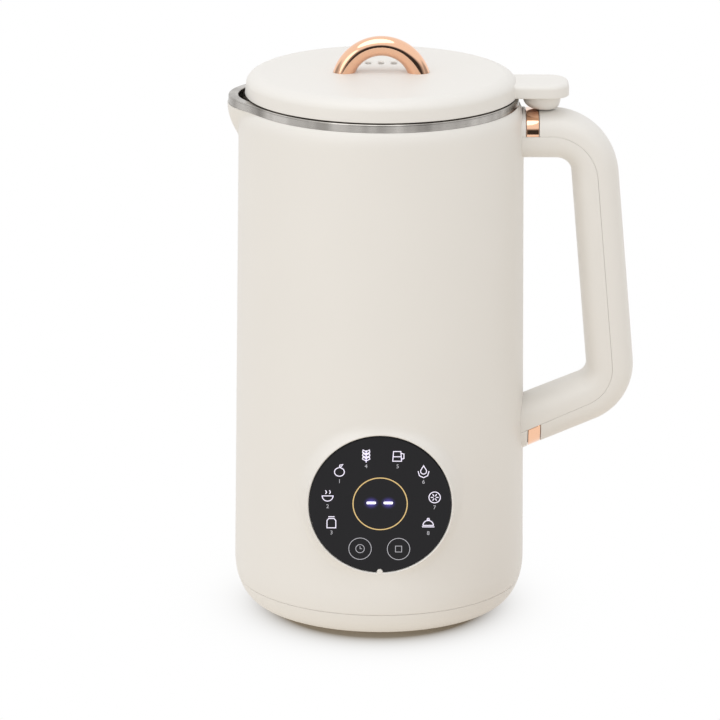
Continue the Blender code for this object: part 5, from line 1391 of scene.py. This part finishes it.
def makeFloor():
    # A pale floor that keeps the object's real shadow and runs out into the white backdrop. Where it is seen it is
    # darker near the object, a painted shadow that fades with the distance from a point a little in front of the axis.
    bm = bmesh.new()
    bm.faces.new([bm.verts.new(point) for point in circleAt(studio["floorRadius"], 0, 96)])
    mesh = toMesh("studioFloor", bm)
    mesh.transform(Matrix.Translation((origin.x, origin.y, 0)))
    floor = placed("studioFloor", mesh)
    material, tree, shader, point = newMaterial("paintedFloor", studio["floorColour"], Roughness=0.9, IOR=1.2)
    # The painted shadow fades out with the distance from its shifted and stretched centre
    shift, wide, tall = studio["shadowShift"], *studio["shadowStretch"]
    corner = ((-origin.x - shift[0]) * wide, (-origin.y - shift[1]) * tall, 0)
    centred = addNode(tree, "ShaderNodeMapping", {"Vector": point, "Location": corner, "Scale": (wide, tall, 1)})
    away = addNode(tree, "ShaderNodeVectorMath", {0: centred}, operation="LENGTH")
    near, length = studio["shadowReach"]
    span = {"Value": away, "From Min": near, "From Max": near + length, "To Min": 0.0, "To Max": -1.0}
    steps = addNode(tree, "ShaderNodeMapRange", span, clamp=False)
    left = addNode(tree, "ShaderNodeMath", {0: steps}, operation="EXPONENT")
    paintedShadowFade = addNode(tree, "ShaderNodeMath", {0: 1.0, 1: left}, operation="SUBTRACT", use_clamp=True)
    # For the light that falls on the object the table glows, a painted bounce light that is warm, and weaker and
    # darker on the right, where it is held back
    seen = whenSeen(tree)[0]
    x, y = studio["dimPlace"]
    beside = addNode(tree, "ShaderNodeMapping", {"Vector": point, "Location": (-origin.x - x, -origin.y - y, 0)})
    reach = addNode(tree, "ShaderNodeVectorMath", {0: beside}, operation="LENGTH")
    near, far = studio["dimReach"]
    dimSpan = {"Value": reach, "From Min": far, "From Max": near}
    dim = addNode(tree, "ShaderNodeMapRange", dimSpan, interpolation_type="SMOOTHSTEP")
    glow = addNode(tree, "ShaderNodeMapRange", {"Value": dim, "To Min": studio["tableGlow"], "To Max": 0.0})
    share = addNode(tree, "ShaderNodeMapRange", {"Value": seen, "To Min": glow, "To Max": paintedShadowFade})
    tones = {"Factor": dim, "A": linear(studio["floorColour"]), "B": linear(studio["dimColour"])}
    unseen = addNode(tree, "ShaderNodeMix", tones, data_type="RGBA")
    # Where it is seen the floor has the darker painted shadow colour, and the fade hands it over to white away from
    # the object
    tones = {"Factor": seen, "A": unseen, "B": linear(studio["paintedShadowColour"])}
    feed(shader, {"Base Color": addNode(tree, "ShaderNodeMix", tones, data_type="RGBA")})
    tones = {"Factor": seen, "A": linear(studio["glowColour"]), "B": linear("#FFFFFF")}
    glowTone = addNode(tree, "ShaderNodeMix", tones, data_type="RGBA")
    white = addNode(tree, "ShaderNodeEmission", {"Color": glowTone, "Strength": 1.0})
    both = addNode(tree, "ShaderNodeMixShader", {0: share, 1: shader, 2: white})
    feed(tree.nodes["Material Output"], {"Surface": both})
    mesh.materials.append(material)


def makeSky():
    # White where it is seen. A mirror also sees the unlit room on the photographer's side and black flags at both
    # sides, which draw the dark lines on the plating.
    world = bpy.context.scene.world or bpy.data.worlds.new("studio")
    bpy.context.scene.world = world
    world.use_nodes = True
    tree = world.node_tree
    background = tree.nodes["Background"]
    seen, glossy = whenSeen(tree)
    level = addNode(tree, "ShaderNodeMapRange", {"Value": seen, "To Min": studio["skyForLight"], "To Max": 1.0})
    towards = addNode(tree, "ShaderNodeTexCoord").outputs["Generated"]
    parts = addNode(tree, "ShaderNodeSeparateXYZ", {"Vector": towards}).outputs
    shifted = addNode(tree, "ShaderNodeMath", {0: parts["X"], 1: studio["roomShift"]}, operation="SUBTRACT")
    across, aside = (addNode(tree, "ShaderNodeMath", {0: x}, operation="ABSOLUTE") for x in (shifted, parts["X"]))
    reach = {}
    for name, value, least, most in (
        ("front", parts["Y"], 0.0, 1.0), ("low", parts["Z"], 0.0, 1.0), ("middle", across, studio["sideRoom"], 1.0),
        ("side", aside, 0.0, studio["darkSides"]), ("below", parts["Z"], 0.0, 1.0),
    ):
        first, last = studio[name]
        span = {"Value": value, "From Min": first, "From Max": last, "To Min": least, "To Max": most}
        reach[name] = addNode(tree, "ShaderNodeMapRange", span, interpolation_type="SMOOTHSTEP")
    ahead = addNode(tree, "ShaderNodeMath", {0: reach["front"], 1: reach["low"]}, operation="MULTIPLY")
    room = addNode(tree, "ShaderNodeMath", {0: ahead, 1: reach["middle"]}, operation="MULTIPLY")
    flags = addNode(tree, "ShaderNodeMath", {0: reach["side"], 1: reach["below"]}, operation="MULTIPLY")
    darkest = addNode(tree, "ShaderNodeMath", {0: room, 1: flags}, operation="MAXIMUM")
    inMirror = addNode(tree, "ShaderNodeMath", {0: darkest, 1: glossy}, operation="MULTIPLY")
    dark = addNode(tree, "ShaderNodeMath", {0: inMirror, 1: studio["darkRoom"]}, operation="MULTIPLY")
    strength = addNode(tree, "ShaderNodeMath", {0: level, 1: dark}, operation="SUBTRACT")
    feed(background, {"Color": (1, 1, 1, 1), "Strength": strength})


def makeLamps():
    for name, place, size, power in studio["lamps"]:
        light = bpy.data.lights.new(name, "AREA")
        light.shape = "DISK"
        light.size = size
        light.energy = power
        lamp = placed(name, light)
        lamp.location = place
        lamp.rotation_euler = (Vector(studio["lampAim"]) - lamp.location).to_track_quat("-Z", "Y").to_euler()


camera = {
    "place": (-0.0123, -1.9, 0.6531), "yaw": 0.0020, "pitch": 0.2812, "roll": 0.0039,
    "focalPixels": 4630.92, "framePixels": 720, "sensor": 36.0,
}


def makeCamera():
    yaw, pitch, roll = camera["yaw"], camera["pitch"], camera["roll"]
    forward = Vector((math.sin(yaw) * math.cos(pitch), math.cos(yaw) * math.cos(pitch), -math.sin(pitch)))
    right = forward.cross(Vector((0, 0, 1))).normalized()
    up = right.cross(forward)
    rolledRight = math.cos(roll) * right + math.sin(roll) * up
    rolledUp = -math.sin(roll) * right + math.cos(roll) * up
    data = bpy.data.cameras.new("photoCamera")
    data.sensor_width = camera["sensor"]
    data.lens = camera["focalPixels"] / camera["framePixels"] * camera["sensor"]
    data.clip_end = 100
    rig = placed("photoCamera", data)
    axes = Matrix((rolledRight, rolledUp, -forward)).transposed()
    rig.matrix_world = Matrix.Translation(origin + Vector(camera["place"])) @ axes.to_4x4()
    bpy.context.scene.camera = rig


makeFloor()
makeSky()
makeLamps()
makeCamera()
bpy.context.scene.view_settings.view_transform = "Standard"
print("studio made")

bpy.context.view_layer.update()
